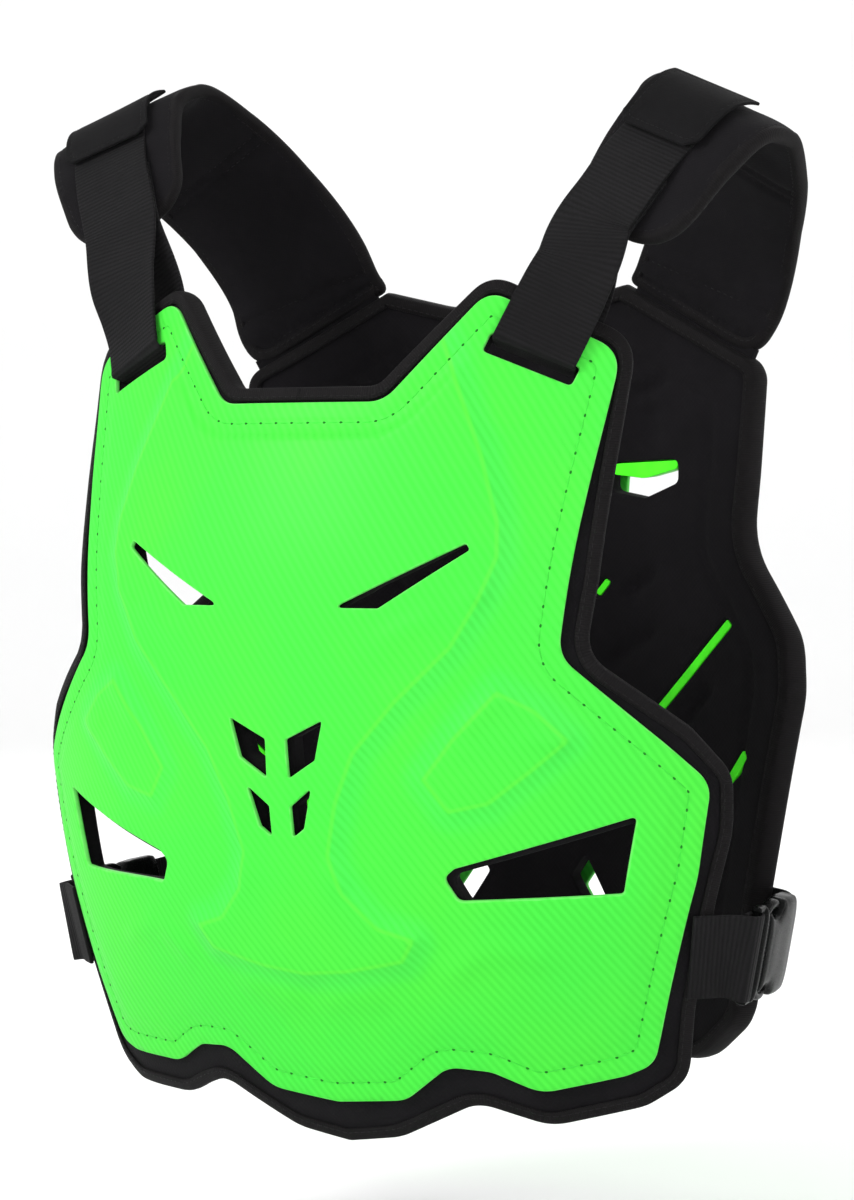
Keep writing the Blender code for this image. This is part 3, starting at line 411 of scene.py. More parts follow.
def turned_left(loop):
    """The loop with its inside on the left of travel."""
    x, y = loop.T
    area = np.sum(x * np.roll(y, -1) - np.roll(x, -1) * y)
    return loop if area > 0 else loop[::-1]


def round_corners(rows):
    """Replace each corner by a curve whose reach is radius / tan(half the turn)."""
    here, radius = rows[:, :2], rows[:, 2]
    back, ahead = np.roll(here, 1, axis=0) - here, np.roll(here, -1, axis=0) - here
    back_length, ahead_length = np.linalg.norm(back, axis=1), np.linalg.norm(ahead, axis=1)
    cosine = np.sum(back * ahead, axis=1) / (back_length * ahead_length)
    half_turn = np.arccos(np.clip(cosine, -1, 1)) / 2
    longest = CORNER_SHARE * np.minimum(back_length, ahead_length)
    reach = np.maximum(np.minimum(radius / np.tan(half_turn), longest), SMALLEST_REACH)[:, None]
    start, end = (here + unit(back) * reach)[:, None], (here + unit(ahead) * reach)[:, None]
    s = np.linspace(0, 1, CORNER_STEPS + 1)[None, :, None]
    curve = start * (1 - s) ** 2 + here[:, None] * (2 * s * (1 - s)) + end * s ** 2
    return curve.reshape(-1, 2)


def evenly(loop, spacing):
    """Points at equal steps along a closed line."""
    closed = np.vstack([loop, loop[:1]])
    at = run_length(closed)
    count = max(FEWEST_POINTS, int(round(at[-1] / spacing)))
    return picked(np.linspace(0, at[-1], count, endpoint=False), at, closed)


def rounded(rows, spacing):
    """The finished loop of a table of corners and their radii in metres."""
    return turned_left(evenly(round_corners(rows), spacing))


def outwards(loop, distance, longest=LONGEST_MITRE):
    """Move a loop away from its material: each point along the mean normal of its two
    edges, further at a corner so that the edges keep their distance."""
    ahead = unit(np.roll(loop, -1, axis=0) - loop)
    normal = -left_of(ahead + np.roll(ahead, 1, axis=0))
    length = np.linalg.norm(normal, axis=1, keepdims=True)
    return loop + normal / length * distance * np.minimum(2 / length, longest)


def scaled(rows):
    return np.array(rows) * [HALF_WIDTH, HEIGHT, HALF_WIDTH]


def panel_loop(rows, spacing):
    """A whole panel outline from the table of its left half."""
    half = scaled(rows)
    other = half[half[:, 0] > ON_MIDDLE][::-1] * [-1, 1, 1]
    return rounded(np.vstack([half, other]), spacing)


def vent_loops(rows, spacing, inset=0.0, drop=0.0):
    """An opening on both sides. Its material lies outside it, so it runs the other way."""
    corners = scaled(rows)
    ring = turned_left(corners[:, :2])
    radii = corners[:, 2] if np.array_equal(ring, corners[:, :2]) else corners[::-1, 2]
    ring = outwards(ring, -inset, longest=VENT_MITRE)
    loop = evenly(round_corners(np.column_stack([ring, radii])), spacing) - [0, drop]
    return [loop[::-1], loop * [-1, 1]]


def strap_slot():
    """The slot's corners in the tables' columns: as wide as the webbing and its room."""
    run = unit(np.array([1.0, -SLOT_FALL])) * (SHOULDER_WEB / 2 + SLOT_ROOM)
    rise = unit(np.array([SLOT_FALL, 1.0])) * SLOT_HEIGHT / 2
    corners = np.array([-run - rise, rise - run, run + rise, run - rise]) / [HALF_WIDTH, HEIGHT]
    return np.column_stack([SLOT_MIDDLE + corners, np.full(4, SLOT_CORNER / HALF_WIDTH)])


STRAP_SLOT = strap_slot()
print("chest outline:", len(panel_loop(FRONT_PLATE_EDGE, 2 * MM)), "points")

# %% [markdown]
# ## From a flat pattern to a shell
# A pattern is filled with triangles: even rows of points inside, extra rows at set distances
# from the edge where a groove or a fold needs them, and the edge's own points. The shell is
# that net twice, as outer and inner face, joined round every edge by a rounded rim. Its
# heights are a function of the pattern's coordinates, so pressing it on to the form is a
# single formula over the whole array.

# %% Distances on the pattern
CHUNK = 4000
ROW_RISE = 0.866


def in_chunks(rule, points):
    """A rule applied to some thousand points at a time, to save memory."""
    chunks = np.array_split(points, max(1, len(points) // CHUNK))
    return np.concatenate([rule(chunk) for chunk in chunks])


def distance_to(points, loop):
    """Shortest distance of each point to a closed line of straight edges."""
    run = np.roll(loop, -1, axis=0) - loop
    length2 = np.sum(run * run, axis=1)

    def nearest(chunk):
        gap = chunk[:, None] - loop
        share = np.clip(np.sum(gap * run, axis=2) / length2, 0, 1)
        return np.linalg.norm(gap - share[..., None] * run, axis=2).min(axis=1)

    return in_chunks(nearest, points)


def crossings(loop, up):
    """Which edges of a closed line cross a height, and where across they do."""
    a, b = loop, np.roll(loop, -1, axis=0)
    rise = np.where(a[:, 1] == b[:, 1], 1.0, b[:, 1] - a[:, 1])
    at = a[:, 0] + (up - a[:, 1]) * (b[:, 0] - a[:, 0]) / rise
    return (a[:, 1] > up) != (b[:, 1] > up), at


def is_inside(points, loop):
    """Whether a ray from each point crosses the closed line an odd number of times."""
    def odd(chunk):
        crosses, at = crossings(loop, chunk[:, 1:])
        return np.sum(crosses & (chunk[:, :1] < at), axis=1) % 2 == 1

    return in_chunks(odd, points)


def signed_inset(points, loop):
    """Distance inside a closed line, negative outside it."""
    return np.where(is_inside(points, loop), 1.0, -1.0) * distance_to(points, loop)


def in_material(points, loops):
    """Whether each point is inside the first loop and outside all the others."""
    inside = is_inside(points, loops[0])
    for loop in loops[1:]:
        inside &= ~is_inside(points, loop)
    return inside


def honeycomb(low, high, step):
    """Rows of points, every other row moved half a step."""
    across = np.arange(low[0], high[0] + step, step)
    up = np.arange(low[1], high[1] + step, step * ROW_RISE)
    x, y = np.meshgrid(across, up)
    x = x + np.where(np.arange(len(up)) % 2, step / 2, 0.0)[:, None]
    return np.stack([x.ravel(), y.ravel()], axis=1)


# %% Fill a pattern with triangles
ROW_ROOM = 0.5
POINT_ROOM = 0.45
ROW_SLACK = 0.03
LEAST_SLACK = 0.02 * MM
SAME_POINT = 1e-7


def fill_pattern(loops, step, rows=()):
    """Points and triangles that fill a flat pattern. The loops come first in the points.
    Inner points keep shares of a step away from the extra rows and from the loops, and a
    row loses the points that a tight corner has moved off their distance."""
    border = np.vstack(loops)
    net = honeycomb(border.min(axis=0), border.max(axis=0), step)
    edge = distance_to(net, loops[0])
    keep = is_inside(net, loops[0])
    for row in rows:
        keep &= np.abs(edge - row) > ROW_ROOM * step
    net = net[keep]
    for row in rows:
        line = outwards(loops[0], -row)
        off = np.abs(distance_to(line, loops[0]) - row)
        good = is_inside(line, loops[0]) & (off < ROW_SLACK * row + LEAST_SLACK)
        net = np.vstack([net, line[good]])
    near = np.min([distance_to(net, loop) for loop in loops], axis=0)
    net = net[(near > POINT_ROOM * min([step, *rows])) & in_material(net, loops)]
    points = np.vstack([border, net])
    starts = np.cumsum([0] + [len(loop) for loop in loops])
    edges = []
    for first, last in zip(starts[:-1], starts[1:]):
        k = np.arange(first, last)
        edges += np.stack([k, np.roll(k, -1)], axis=1).tolist()
    found, _, faces, *_ = delaunay_2d_cdt(points.tolist(), edges, [], 0, SAME_POINT)
    found = np.array([tuple(p) for p in found])
    if len(found) != len(points):
        raise ValueError(f"pattern points changed from {len(points)} to {len(found)}")
    faces = np.array(faces)
    faces = faces[in_material(found[faces].mean(axis=1), loops)]
    a, b, c = (found[faces[:, k]] for k in range(3))
    turn = (b[:, 0] - a[:, 0]) * (c[:, 1] - a[:, 1]) - (b[:, 1] - a[:, 1]) * (c[:, 0] - a[:, 0])
    faces[turn < 0] = faces[turn < 0][:, ::-1]
    return found, faces


# %% The shell builder
RIM_STEPS = 4


def level(height):
    """One height for a whole pattern."""
    return lambda flat, edge=None: np.full(len(flat), height)


def lifted(form, gap):
    """The same form, further out by a gap."""
    return lambda u, z, t: form(u, z, t + gap)


def shell(name, outline, holes, step, form, low, high, rim, hole_rim=None, rows=(), marks=None):
    """A pattern as a closed shell. low and high are functions of the pattern's points and
    their distance from the outline that give the inner and outer height. rim is the radius
    of its rounded edge: a quarter turn down from the outer face, and one back to the inner.
    marks holds named functions of the pattern's points, for the material."""
    hole_rim = rim if hole_rim is None else hole_rim
    radii = [rim] + [hole_rim] * len(holes)
    inner_loops = [outwards(loop, -radius) for loop, radius in zip([outline] + holes, radii)]
    flat, triangles = fill_pattern(inner_loops, step, rows)
    edge = distance_to(flat, outline)
    points = [form(*flat.T, high(flat, edge)), form(*flat.T, low(flat, edge))]
    patterns = [flat, flat]
    faces = [triangles, triangles[:, ::-1] + len(flat)]
    count = 2 * len(flat)
    start = 0
    quarter = np.linspace(0, math.pi / 2, RIM_STEPS + 1)
    for loop, radius in zip(inner_loops, radii):
        ring = np.arange(len(loop))
        near = edge[start + ring]
        upper, lower = high(loop, near), low(loop, near)
        drop = np.minimum(radius, (upper - lower) / 2)
        turns = [(np.sin(q), upper - drop * (1 - np.cos(q))) for q in quarter[1:]]
        turns += [(np.cos(q), lower + drop * (1 - np.sin(q))) for q in quarter[:-1]]
        rings = [start + ring]
        for out, height in turns:
            place = outwards(loop, radius * out)
            points.append(form(*place.T, height))
            patterns.append(place)
            rings.append(count + ring)
            count += len(loop)
        rings.append(len(flat) + start + ring)
        faces += [quads(a, b) for a, b in zip(rings[:-1], rings[1:])]
        start += len(loop)
    points, pattern = np.vstack(points), np.vstack(patterns)
    values = {mark: rule(pattern) for mark, rule in (marks or {}).items()}
    return put_mesh(name, points, faced_out(points, faces), pattern, values)


# %% [markdown]
# ## The moulded plates
# The real plate is one sheet of polypropylene, about 3 mm thick, formed in a heated mould.
# Its middle stands out, bounded by a crisp crest that runs down from the neck, narrows under
# the breastbone and flares above the belly. Softer pleats fan out to the sides. The crest is
# a closed line on the pattern: inside it the height is full, and outside it falls as
# (1 - d / width) squared, which is sharp at the crest and soft at its foot. A pleat is a
# line with a bell-shaped section that fades to nothing at both ends.

# %% Relief tables in millimetres on the pattern
FRONT_CREST = (
    # across, up from the neckline, the wearer's left half
    (0, 40), (62, 40), (80, 0), (92, -26), (102, -55), (103, -70), (96, -88), (84, -109),
    (58, -134), (38, -157), (28, -180), (22, -204), (27, -221), (41, -236), (57, -241),
    (50, -251), (22, -257), (0, -259.5),
)
CHEEK_CREST = (
    (70, -168), (84, -150), (104, -129), (120, -137), (134, -150), (118, -163), (98, -178), (80, -182),
)
BACK_CREST = (
    (0, 16), (50, 20), (86, 4), (94, -40), (86, -92), (104, -140), (96, -192), (66, -224),
    (50, -264), (0, -280),
)
FRONT_PLEATS = (
    # start across, start up, end across, end up, height, half width of the section
    (46, -110, 84, -92, 1.3, 5.0),
    (84, -92, 104, -82, 1.0, 4.0),
    (40, -127, 78, -113, -1.0, 6.0),
    (84, -150, 110, -126, 1.0, 5.0),
    (62, -158, 84, -134, -1.1, 6.5),
    (112, -148, 134, -153, 0.9, 4.0),
    (66, -262, 90, -243, 1.1, 6.0),
    (84, -243, 124, -250, 1.0, 6.0),
    (20, -206, 26, -224, 0.8, 5.0),
    (118, -104, 150, -128, -0.7, 8.0),
    (0, -274, 46, -264, 1.3, 8.0),
    (60, -296, 44, -268, -0.8, 9.0),
)
BACK_PLEATS = (
    (40, -60, 70, -96, -1.2, 6.0),
    (40, -120, 80, -150, -1.2, 6.0),
    (36, -180, 70, -205, -1.2, 6.0),
    (0, -30, 0, -230, 1.2, 12.0),
)
# height, and width of the slope
CREST_SIZE = (3.0 * MM, 13.0 * MM)
CHEEK_SIZE = (1.7 * MM, 9.0 * MM)
# how steeply and how early a pleat rises from its ends
PLEAT_FADE = (2.5, 0.15)
BORDER = 14.5 * MM
BORDER_STEP = 0.35 * MM
BORDER_RISE = 3.0 * MM
RELIEF_FROM = BORDER - 2.0 * MM
RELIEF_RISE = 6.0 * MM
SEAM_IN = 9.5 * MM
SEAM_DEPTH = 0.45 * MM
SEAM_WIDTH = 0.9 * MM


def whole_line(half):
    """A closed line from the table of its left half."""
    rows = np.array(half, dtype=float) * MM
    return np.vstack([rows, (rows * [-1, 1])[::-1][rows[::-1, 0] > ON_MIDDLE]])


def crest(flat, line, height, slope):
    """Full height inside the closed line and height * (1 - d / slope) ** 2 outside it."""
    away = np.where(is_inside(flat, line), 0.0, distance_to(flat, line))
    return height * np.clip(1 - away / slope, 0, 1) ** 2


def pleats(flat, table):
    """The sum of bell-shaped ridges along lines, each fading at its ends, on both sides."""
    total = np.zeros(len(flat))
    folded = np.stack([np.abs(flat[:, 0]), flat[:, 1]], axis=1)
    steep, early = PLEAT_FADE
    for x0, y0, x1, y1, height, width in table:
        a, run = np.array([x0, y0]) * MM, np.array([x1 - x0, y1 - y0]) * MM
        share = (folded - a) @ run / (run @ run)
        away = np.linalg.norm(folded - a - np.clip(share, 0, 1)[:, None] * run, axis=1)
        fade = ramp(share * steep + early) * ramp((1 - share) * steep + early)
        total += height * MM * fade * bell(away, width * MM)
    return total


def make_relief(crests, table):
    """A plate's height: its highest crest and its pleats in the middle, and round them a
    flat lower border with the seam pressed in along it."""
    def relief(flat, edge):
        middle = ramp((edge - RELIEF_FROM) / RELIEF_RISE)
        shape = np.max([crest(flat, *row) for row in crests], axis=0) + pleats(flat, table)
        border = BORDER_STEP * ramp((edge - BORDER) / BORDER_RISE)
        return np.maximum(shape * middle, 0) + border - SEAM_DEPTH * bell(edge - SEAM_IN, SEAM_WIDTH)

    return relief


CHEEK_LINES = [np.array(CHEEK_CREST) * [sign * MM, MM] for sign in MIRROR.values()]
FRONT_CRESTS = [(whole_line(FRONT_CREST), *CREST_SIZE)] + [(line, *CHEEK_SIZE) for line in CHEEK_LINES]
BACK_CRESTS = [(whole_line(BACK_CREST), *CREST_SIZE)]
front_relief = make_relief(FRONT_CRESTS, FRONT_PLEATS)
back_relief = make_relief(BACK_CRESTS, BACK_PLEATS)

# %% Both plates
PLATE_STEP = 2.4 * MM
EDGE_SPACING = 1.8 * MM
HOLE_SPACING = 1.0 * MM
PLATE_RIM = 0.9 * MM
PLATE_FACE = PLATE - BORDER_STEP / 2
SEAM_ROWS = tuple(SEAM_IN + step * MM for step in (-6.5, -1.0, 0.0, 1.0, 5.0, 6.5, 8.0))
front_plate_point = lifted(front_point, GAP)
back_plate_point = lifted(back_point, BACK_PLATE_GAP)


def make_plate(name, table, vents, drop, relief, crests, form):
    """A plate's outline, and its shell with two marks for the material: the distance from
    the nearest edge and the distance inside a crest."""
    outline = panel_loop(table, EDGE_SPACING)
    holes = [loop for rows in vents for loop in vent_loops(rows, HOLE_SPACING, drop=drop)]
    marks = {
        "edge": lambda flat: np.min([distance_to(flat, loop) for loop in [outline] + holes], axis=0),
        "crest": lambda flat: np.max([signed_inset(flat, row[0]) for row in crests], axis=0),
    }

    def high(flat, edge):
        return relief(flat, edge) + PLATE_FACE

    return outline, shell(
        name, outline, holes, PLATE_STEP, form, relief, high, PLATE_RIM, rows=SEAM_ROWS, marks=marks)


front_plate_loop, front_plate = make_plate(
    "chest_plate", FRONT_PLATE_EDGE, (UPPER_VENT, CENTRE_VENT_A, CENTRE_VENT_B, SIDE_VENT, STRAP_SLOT),
    0.0, front_relief, FRONT_CRESTS, front_plate_point)
back_plate_loop, back_plate = make_plate(
    "back_plate_shell", BACK_PLATE_EDGE, (BACK_UPPER_SLOT, BACK_LOWER_VENT),
    BACK_PLATE_VENT_DROP, back_relief, BACK_CRESTS, back_plate_point)
print("plates:", front_plate.name, back_plate.name)

# %% [markdown]
# ## Foam liners
# Behind each plate lies a pad of 9 mm foam with cloth on both faces, a little larger than
# the plate, so that a soft black border shows all round. The seam that holds the plate
# pulls a furrow into its inner face, and the mould presses a few short channels there to
# let air through. Both are only changes of height on the same pattern. The inner face is
# left very slightly uneven, as foam is.

# %% Liners
LINER_STEP = 3.4 * MM
LINER_RIM = 3.2 * MM
LINER_ROW = 3.0 * MM
VENT_RIM = 1.2 * MM
FURROW_DEPTH = 1.6 * MM
FURROW_WIDTH = 2.2 * MM
CHANNELS_FROM = 8.0 * MM
CHANNELS_RISE = 6.0 * MM
# height and length of the waves, and each wave's turns across and up and its start
LINER_WAVES = (0.35 * MM, 0.11)
UNEVEN_WAVES = ((1.0, 0.7, 0.0), (-0.4, 1.7, 1.0), (2.3, 1.9, 2.0))
FRONT_CHANNELS = (
    # the same columns as the pleats; a positive height here is a furrow seen from the body
    (34, -30, 60, -62, 2.2, 5.0), (40, -74, 72, -96, 2.2, 5.0), (52, -124, 92, -146, 2.2, 5.0),
    (40, -236, 78, -262, 2.2, 5.0), (0, -20, 0, -128, 1.6, 8.0),
)
BACK_CHANNELS = (
    (62, -94, 88, -77, 4.2, 3.8), (50, -127, 90, -106, 4.4, 4.2), (97, -158, 128, -131, 4.4, 4.4),
    (70, 7, 97, 17, 3.4, 3.0), (60, -186, 92, -170, 4.0, 4.2), (76, -236, 118, -212, 3.6, 4.2),
    (0, -20, 0, -230, 1.8, 9.0), (82, 6, 86, -20, 2.6, 7.0),
)


def uneven(flat, amount, size):
    """A few crossing long waves, so that a soft face is never quite even."""
    x, y = flat.T * (2 * math.pi / size)
    waves = sum(np.sin(across * x + up * y + start) for across, up, start in UNEVEN_WAVES)
    return amount * waves / len(UNEVEN_WAVES)


def make_liner(name, table, vents, plate_loop, channels, form):
    """A liner with its vents, each a table and how far it lies inside that table's line."""
    outline = outwards(panel_loop(table, EDGE_SPACING), -TAPE - GAP)
    holes = [loop for rows, inset in vents for loop in vent_loops(rows, HOLE_SPACING, inset)]

    def low(flat, edge):
        furrow = FURROW_DEPTH * bell(signed_inset(flat, plate_loop) - SEAM_IN, FURROW_WIDTH)
        soft = ramp((edge - CHANNELS_FROM) / CHANNELS_RISE)
        return -LINER + furrow + soft * (pleats(flat, channels) + uneven(flat, *LINER_WAVES))

    return shell(
        name, outline, holes, LINER_STEP, form, low, level(0.0), LINER_RIM, VENT_RIM, rows=(LINER_ROW,))


FRONT_LINER_VENTS = (
    (UPPER_LINER_VENT, 0.0), (CENTRE_VENT_A, CENTRE_VENT_INSET), (CENTRE_VENT_B, CENTRE_VENT_INSET),
    (SIDE_LINER_VENT, 0.0), (STRAP_SLOT, 0.0),
)
BACK_LINER_VENTS = tuple(
    (rows, 0.0) for rows in (BACK_UPPER_SLOT, BACK_LONG_SLOT, BACK_SHORT_SLOT, BACK_LOWER_VENT, BACK_NICK))
front_liner = make_liner(
    "chest_liner", FRONT_LINER_EDGE, FRONT_LINER_VENTS, front_plate_loop, FRONT_CHANNELS, front_point)
back_liner = make_liner(
    "back_liner_pad", BACK_LINER_EDGE, BACK_LINER_VENTS, back_plate_loop, BACK_CHANNELS, back_point)
print("liners:", front_liner.name, back_liner.name)

# %% Ribs of the back plate
BACK_UPPER_RIB = (
    (0.300, -0.062, 0.020), (0.500, -0.059, 0.020), (0.500, -0.072, 0.040), (0.392, -0.084, 0.080),
    (0.290, -0.078, 0.040),
)
RIB_SLOTS = {"long": BACK_LONG_SLOT, "short": BACK_SHORT_SLOT, "nick": BACK_NICK, "upper": BACK_UPPER_RIB}
RIB_CLEAR = 0.6 * MM
RIB_SUNK = 1.0 * MM
RIB_STEP = 1.3 * MM
RIB_RIM = 0.5 * MM


def make_rib(name, loop):
    """The plate's moulded rib that fills a slot of the back liner almost to its face."""
    outline = outwards(turned_left(loop), -RIB_CLEAR)
    low, high = level(-LINER + RIB_SUNK), level(BACK_PLATE_GAP)
    return shell(name, outline, [], RIB_STEP, back_point, low, high, RIB_RIM)


ribs = [
    make_rib(f"back_plate_rib_{name}_{side}", loop)
    for name, rows in RIB_SLOTS.items() for side, loop in zip(MIRROR, vent_loops(rows, HOLE_SPACING))
]
print("ribs:", len(ribs))

# %% [markdown]
# ## Edge tape
# A woven tape is folded over the liner's edge and sewn through. It is a U-shaped section
# carried round the outline: each point of the section has a distance from the edge and a
# height. The tape is a flat strip, so it puckers slightly where the outline curves: the
# height of its two faces ripples with a short wave, more where the outline turns more.

# %% Tape round an outline
TAPE_LIP = 7.2 * MM
TAPE_FOLD = 2.4 * MM
TAPE_BEVEL = 0.2 * MM
TAPE_SEWN = 0.15 * MM
TAPE_ROOM = 0.5 * MM
TURN_SPAN = 3
# height of the ripple on a straight run and what a full turn adds, then for each wave the
# distance of one radian, its start and its share
PUCKER = (0.025 * MM, 0.175 * MM)
PUCKER_WAVES = ((1.3 * MM, 0.0, 1.0), (2.1 * MM, 1.0, 0.6))


def tape_section(lip, low, high, thick):
    """The U as (distance outwards, height, share of the ripple) all the way round. Its
    second half is the first one mirrored in height."""
    middle, half, top = (low + high) / 2, (high - low) / 2 + thick, high + thick
    bend = np.linspace(0, math.pi, 9)[1:-1]
    out, up = TAPE_FOLD * (np.sin(bend) - 1), middle + half * np.cos(bend)
    fold = np.stack([out, up, np.full(len(bend), 0.3)], axis=1)
    face = np.array([
        (TAPE_BEVEL - lip, top, 0.6), (-lip * 0.75, top, 1.0), (-lip * 0.5, top - TAPE_SEWN, 0.4)])
    lining = np.array([
        (-thick - TAPE_ROOM, high, 0.0), (TAPE_BEVEL - lip, high, 0.0), (-lip, high + TAPE_BEVEL, 0.0)])

    def other(rows):
        return (rows * [1, -1, -1] + [0, low + high, 0])[::-1]

    return np.vstack([face, fold, other(face), other(lining), lining])


def make_tape(name, loop, form, lip, low, high, thick=TAPE):
    """The section carried round the loop, with a ripple of height along it."""
    section = tape_section(lip, low, high, thick)
    ahead = unit(np.roll(loop, -1, axis=0) - loop)
    turn = np.abs(np.cross(np.roll(ahead, TURN_SPAN, axis=0), np.roll(ahead, -TURN_SPAN, axis=0)))
    along = run_length(loop)
    waves = sum(share * np.sin(along / radian + start) for radian, start, share in PUCKER_WAVES)
    ripple = (PUCKER[0] + PUCKER[1] * np.clip(turn, 0, 1)) * waves
    rings, flats = [], []
    for distance, height, share in section:
        rings.append(form(*outwards(loop, distance).T, height + share * ripple))
        flats.append(np.stack([along, np.full(len(loop), distance + 2 * height)], axis=1))
    ring = np.arange(len(section) * len(loop)).reshape(len(section), -1)
    points = np.vstack(rings)
    faces = [quads(ring, np.roll(ring, -1, axis=0), turned=True)]
    return put_mesh(name, points, faced_out(points, faces), np.vstack(flats))


front_edge_loop = panel_loop(FRONT_LINER_EDGE, EDGE_SPACING)
back_edge_loop = panel_loop(BACK_LINER_EDGE, EDGE_SPACING)
TAPE_SIZES = (TAPE_LIP, -LINER - TAPE_GAP, TAPE_GAP)
front_tape = make_tape("chest_edge_tape", front_edge_loop, front_point, *TAPE_SIZES)
back_tape = make_tape("back_edge_tape", back_edge_loop, back_point, *TAPE_SIZES)

# %% [markdown]
# ## Ribbons in space
# Straps and shoulder pads follow a path over the shoulder. A path is a smooth line with a
# direction across it; from s along, w across and t off its face it gives a point. A strip
# of webbing is then one rounded section carried along its path, and a pad is the same kind
# of flat pattern as the panels, pressed on to the path instead of on to a body form.

# %% Paths
NUDGE = 0.01


class Path:
    """A ribbon's middle line in space with the direction across it."""

    def __init__(self, points, across, samples=1200):
        points, across = np.array(points, dtype=float), np.array(across, dtype=float)
        steps = run_length(points)
        fine = np.linspace(0, steps[-1], samples)
        rows = smooth_table([tuple(r) for r in np.column_stack([steps, points, across])], fine)
        self.point, side = rows[:, :3], rows[:, 3:]
        self.at = run_length(self.point)
        self.length = self.at[-1]
        self.ahead = unit(np.gradient(self.point, self.at, axis=0))
        self.side = unit(side - self.ahead * np.sum(side * self.ahead, axis=1)[:, None])
        self.normal = np.cross(self.ahead, self.side)

    def read(self, s):
        """The middle line and the directions across it and off its face at s."""
        return [picked(s, self.at, rows) for rows in (self.point, self.side, self.normal)]

    def place(self, s, w, t):
        """Points s along the path, w across it and t off its face."""
        point, side, normal = self.read(s)
        before = np.minimum(s, 0)[..., None] * self.ahead[0]
        beyond = np.maximum(s - self.length, 0)[..., None] * self.ahead[-1]
        return point + before + beyond + side * w[..., None] + normal * np.asarray(t)[..., None]


PAD_PATH = (
    # out, behind the neckline, up, then the direction across the pad towards the arm
    (0.5425, 0.830, 0.1080, 0.882, -0.050, -0.469), (0.6080, 0.806, 0.1750, 0.884, -0.055, -0.464),
    (0.6950, 0.735, 0.2550, 0.888, -0.080, -0.452), (0.7800, 0.605, 0.3240, 0.892, -0.120, -0.436),
    (0.8250, 0.450, 0.3600, 0.896, -0.160, -0.414), (0.8150, 0.355, 0.3500, 0.915, -0.155, -0.370),
    (0.7650, 0.286, 0.3060, 0.955, -0.130, -0.265), (0.7020, 0.240, 0.2470, 0.980, -0.100, -0.170),
    (0.6600, 0.212, 0.2080, 0.986, -0.070, -0.150),
)
PAD_POSE = {"left": -5.0 * MM, "right": 5.0 * MM}
HINGE_GAP = 1.0 * MM
HINGE_STRAIGHT = 9.0 * MM
PAD_NECK_SIDE = (
    # share of the length, half width (share of HALF_WIDTH / 2), corner radius
    (0.000, 0.445, 0.02), (0.300, 0.405, 0.20), (0.580, 0.405, 0.20), (0.800, 0.360, 0.10),
    (1.000, 0.300, 0.14),
)
PAD_ARM_SIDE = (
    (0.000, 0.430, 0.09), (0.300, 0.385, 0.20), (0.580, 0.390, 0.20), (0.800, 0.360, 0.10),
    (1.000, 0.300, 0.14),
)
BACK_CORNERS = [2, 3]


def pad_root():
    """The slanting top edge of the back panel: its two ends, its run and upwards from it."""
    neck, arm = scaled(BACK_LINER_EDGE)[BACK_CORNERS, :2]
    run = unit(arm - neck)
    return neck, arm, run, left_of(run)


def pad_path(pose):
    """The pad's middle line. It starts just beyond the tape along the slanting top edge of
    the back panel, in line with that panel, and then follows its table."""
    rows = np.array(PAD_PATH)
    points = rows[:, :3] * [HALF_WIDTH, DEPTH, HEIGHT] + NECKLINE
    points[:, 2] += pose * ramp(np.arange(len(rows)) / 3)
    neck, arm, run, up = pad_root()

    def on_back(rise, across=0.0):
        place = (arm + neck) / 2 + up * rise + run * across
        return back_point(place[:1], place[1:], np.zeros(1))[0]

    side = unit(on_back(HINGE_GAP, 2 * NUDGE) - on_back(HINGE_GAP, -2 * NUDGE))
    start = [on_back(HINGE_GAP), on_back(HINGE_GAP + HINGE_STRAIGHT)]
    return Path(np.vstack([start, points[1:]]), np.vstack([side, side, rows[1:, 3:]]))


def pad_loop(path, spacing):
    size = np.array([path.length, HALF_WIDTH / 2, HALF_WIDTH])
    neck, arm = np.array(PAD_NECK_SIDE) * size * [1, -1, 1], np.array(PAD_ARM_SIDE) * size
    return rounded(np.vstack([neck, arm[::-1]]), spacing)


pad_paths = {side: pad_path(pose) for side, pose in PAD_POSE.items()}
print("pad length:", round(pad_paths["left"].length, 3))

# %% [markdown]
# ## Shoulder pads
# Each pad is two layers of cloth over soft foam. It is thickest along its middle and thin
# at its bound edge, so its height follows a circular crown of the distance from the edge.
# Two double rows of sewing cross it, where it hinges on the back panel and near the top of
# the shoulder, and the foam bulges between them.

# %% Pads, wearer's left and mirrored right
PAD_STEP = 2.4 * MM
PAD_EDGE = 5.0 * MM
PAD_CROWN = 22.0 * MM
PAD_SWELL = 0.6 * MM
PAD_INSET = 1.3 * MM
PAD_RIM = 1.8 * MM
PAD_ROWS = (3 * MM, 6 * MM)
PAD_WAVES = (0.3 * MM, 0.07)
PAD_FACE_WAVES = (0.25 * MM, 0.06)
PAD_SEAMS = (
    # share of the length, depth, half width in millimetres
    (0.030, 1.8, 1.6), (0.075, 1.6, 1.6), (0.400, 1.5, 1.8), (0.425, 1.3, 1.8),
)
PAD_SEAM_RISE = 6.0 * MM
PAD_TAPE_LIP = 6.0 * MM
PAD_TAPE = 0.8 * MM
PAD_TAPE_GAP = 0.4 * MM
HINGE_REACH = 4.5 * MM
HINGE_INSET = 7.0 * MM
HINGE_LEVELS = (-6.4 * MM, -2.6 * MM)
HINGE_SPACING = 1.5 * MM
HINGE_STEP = 2.0 * MM
HINGE_RIM = 0.4 * MM


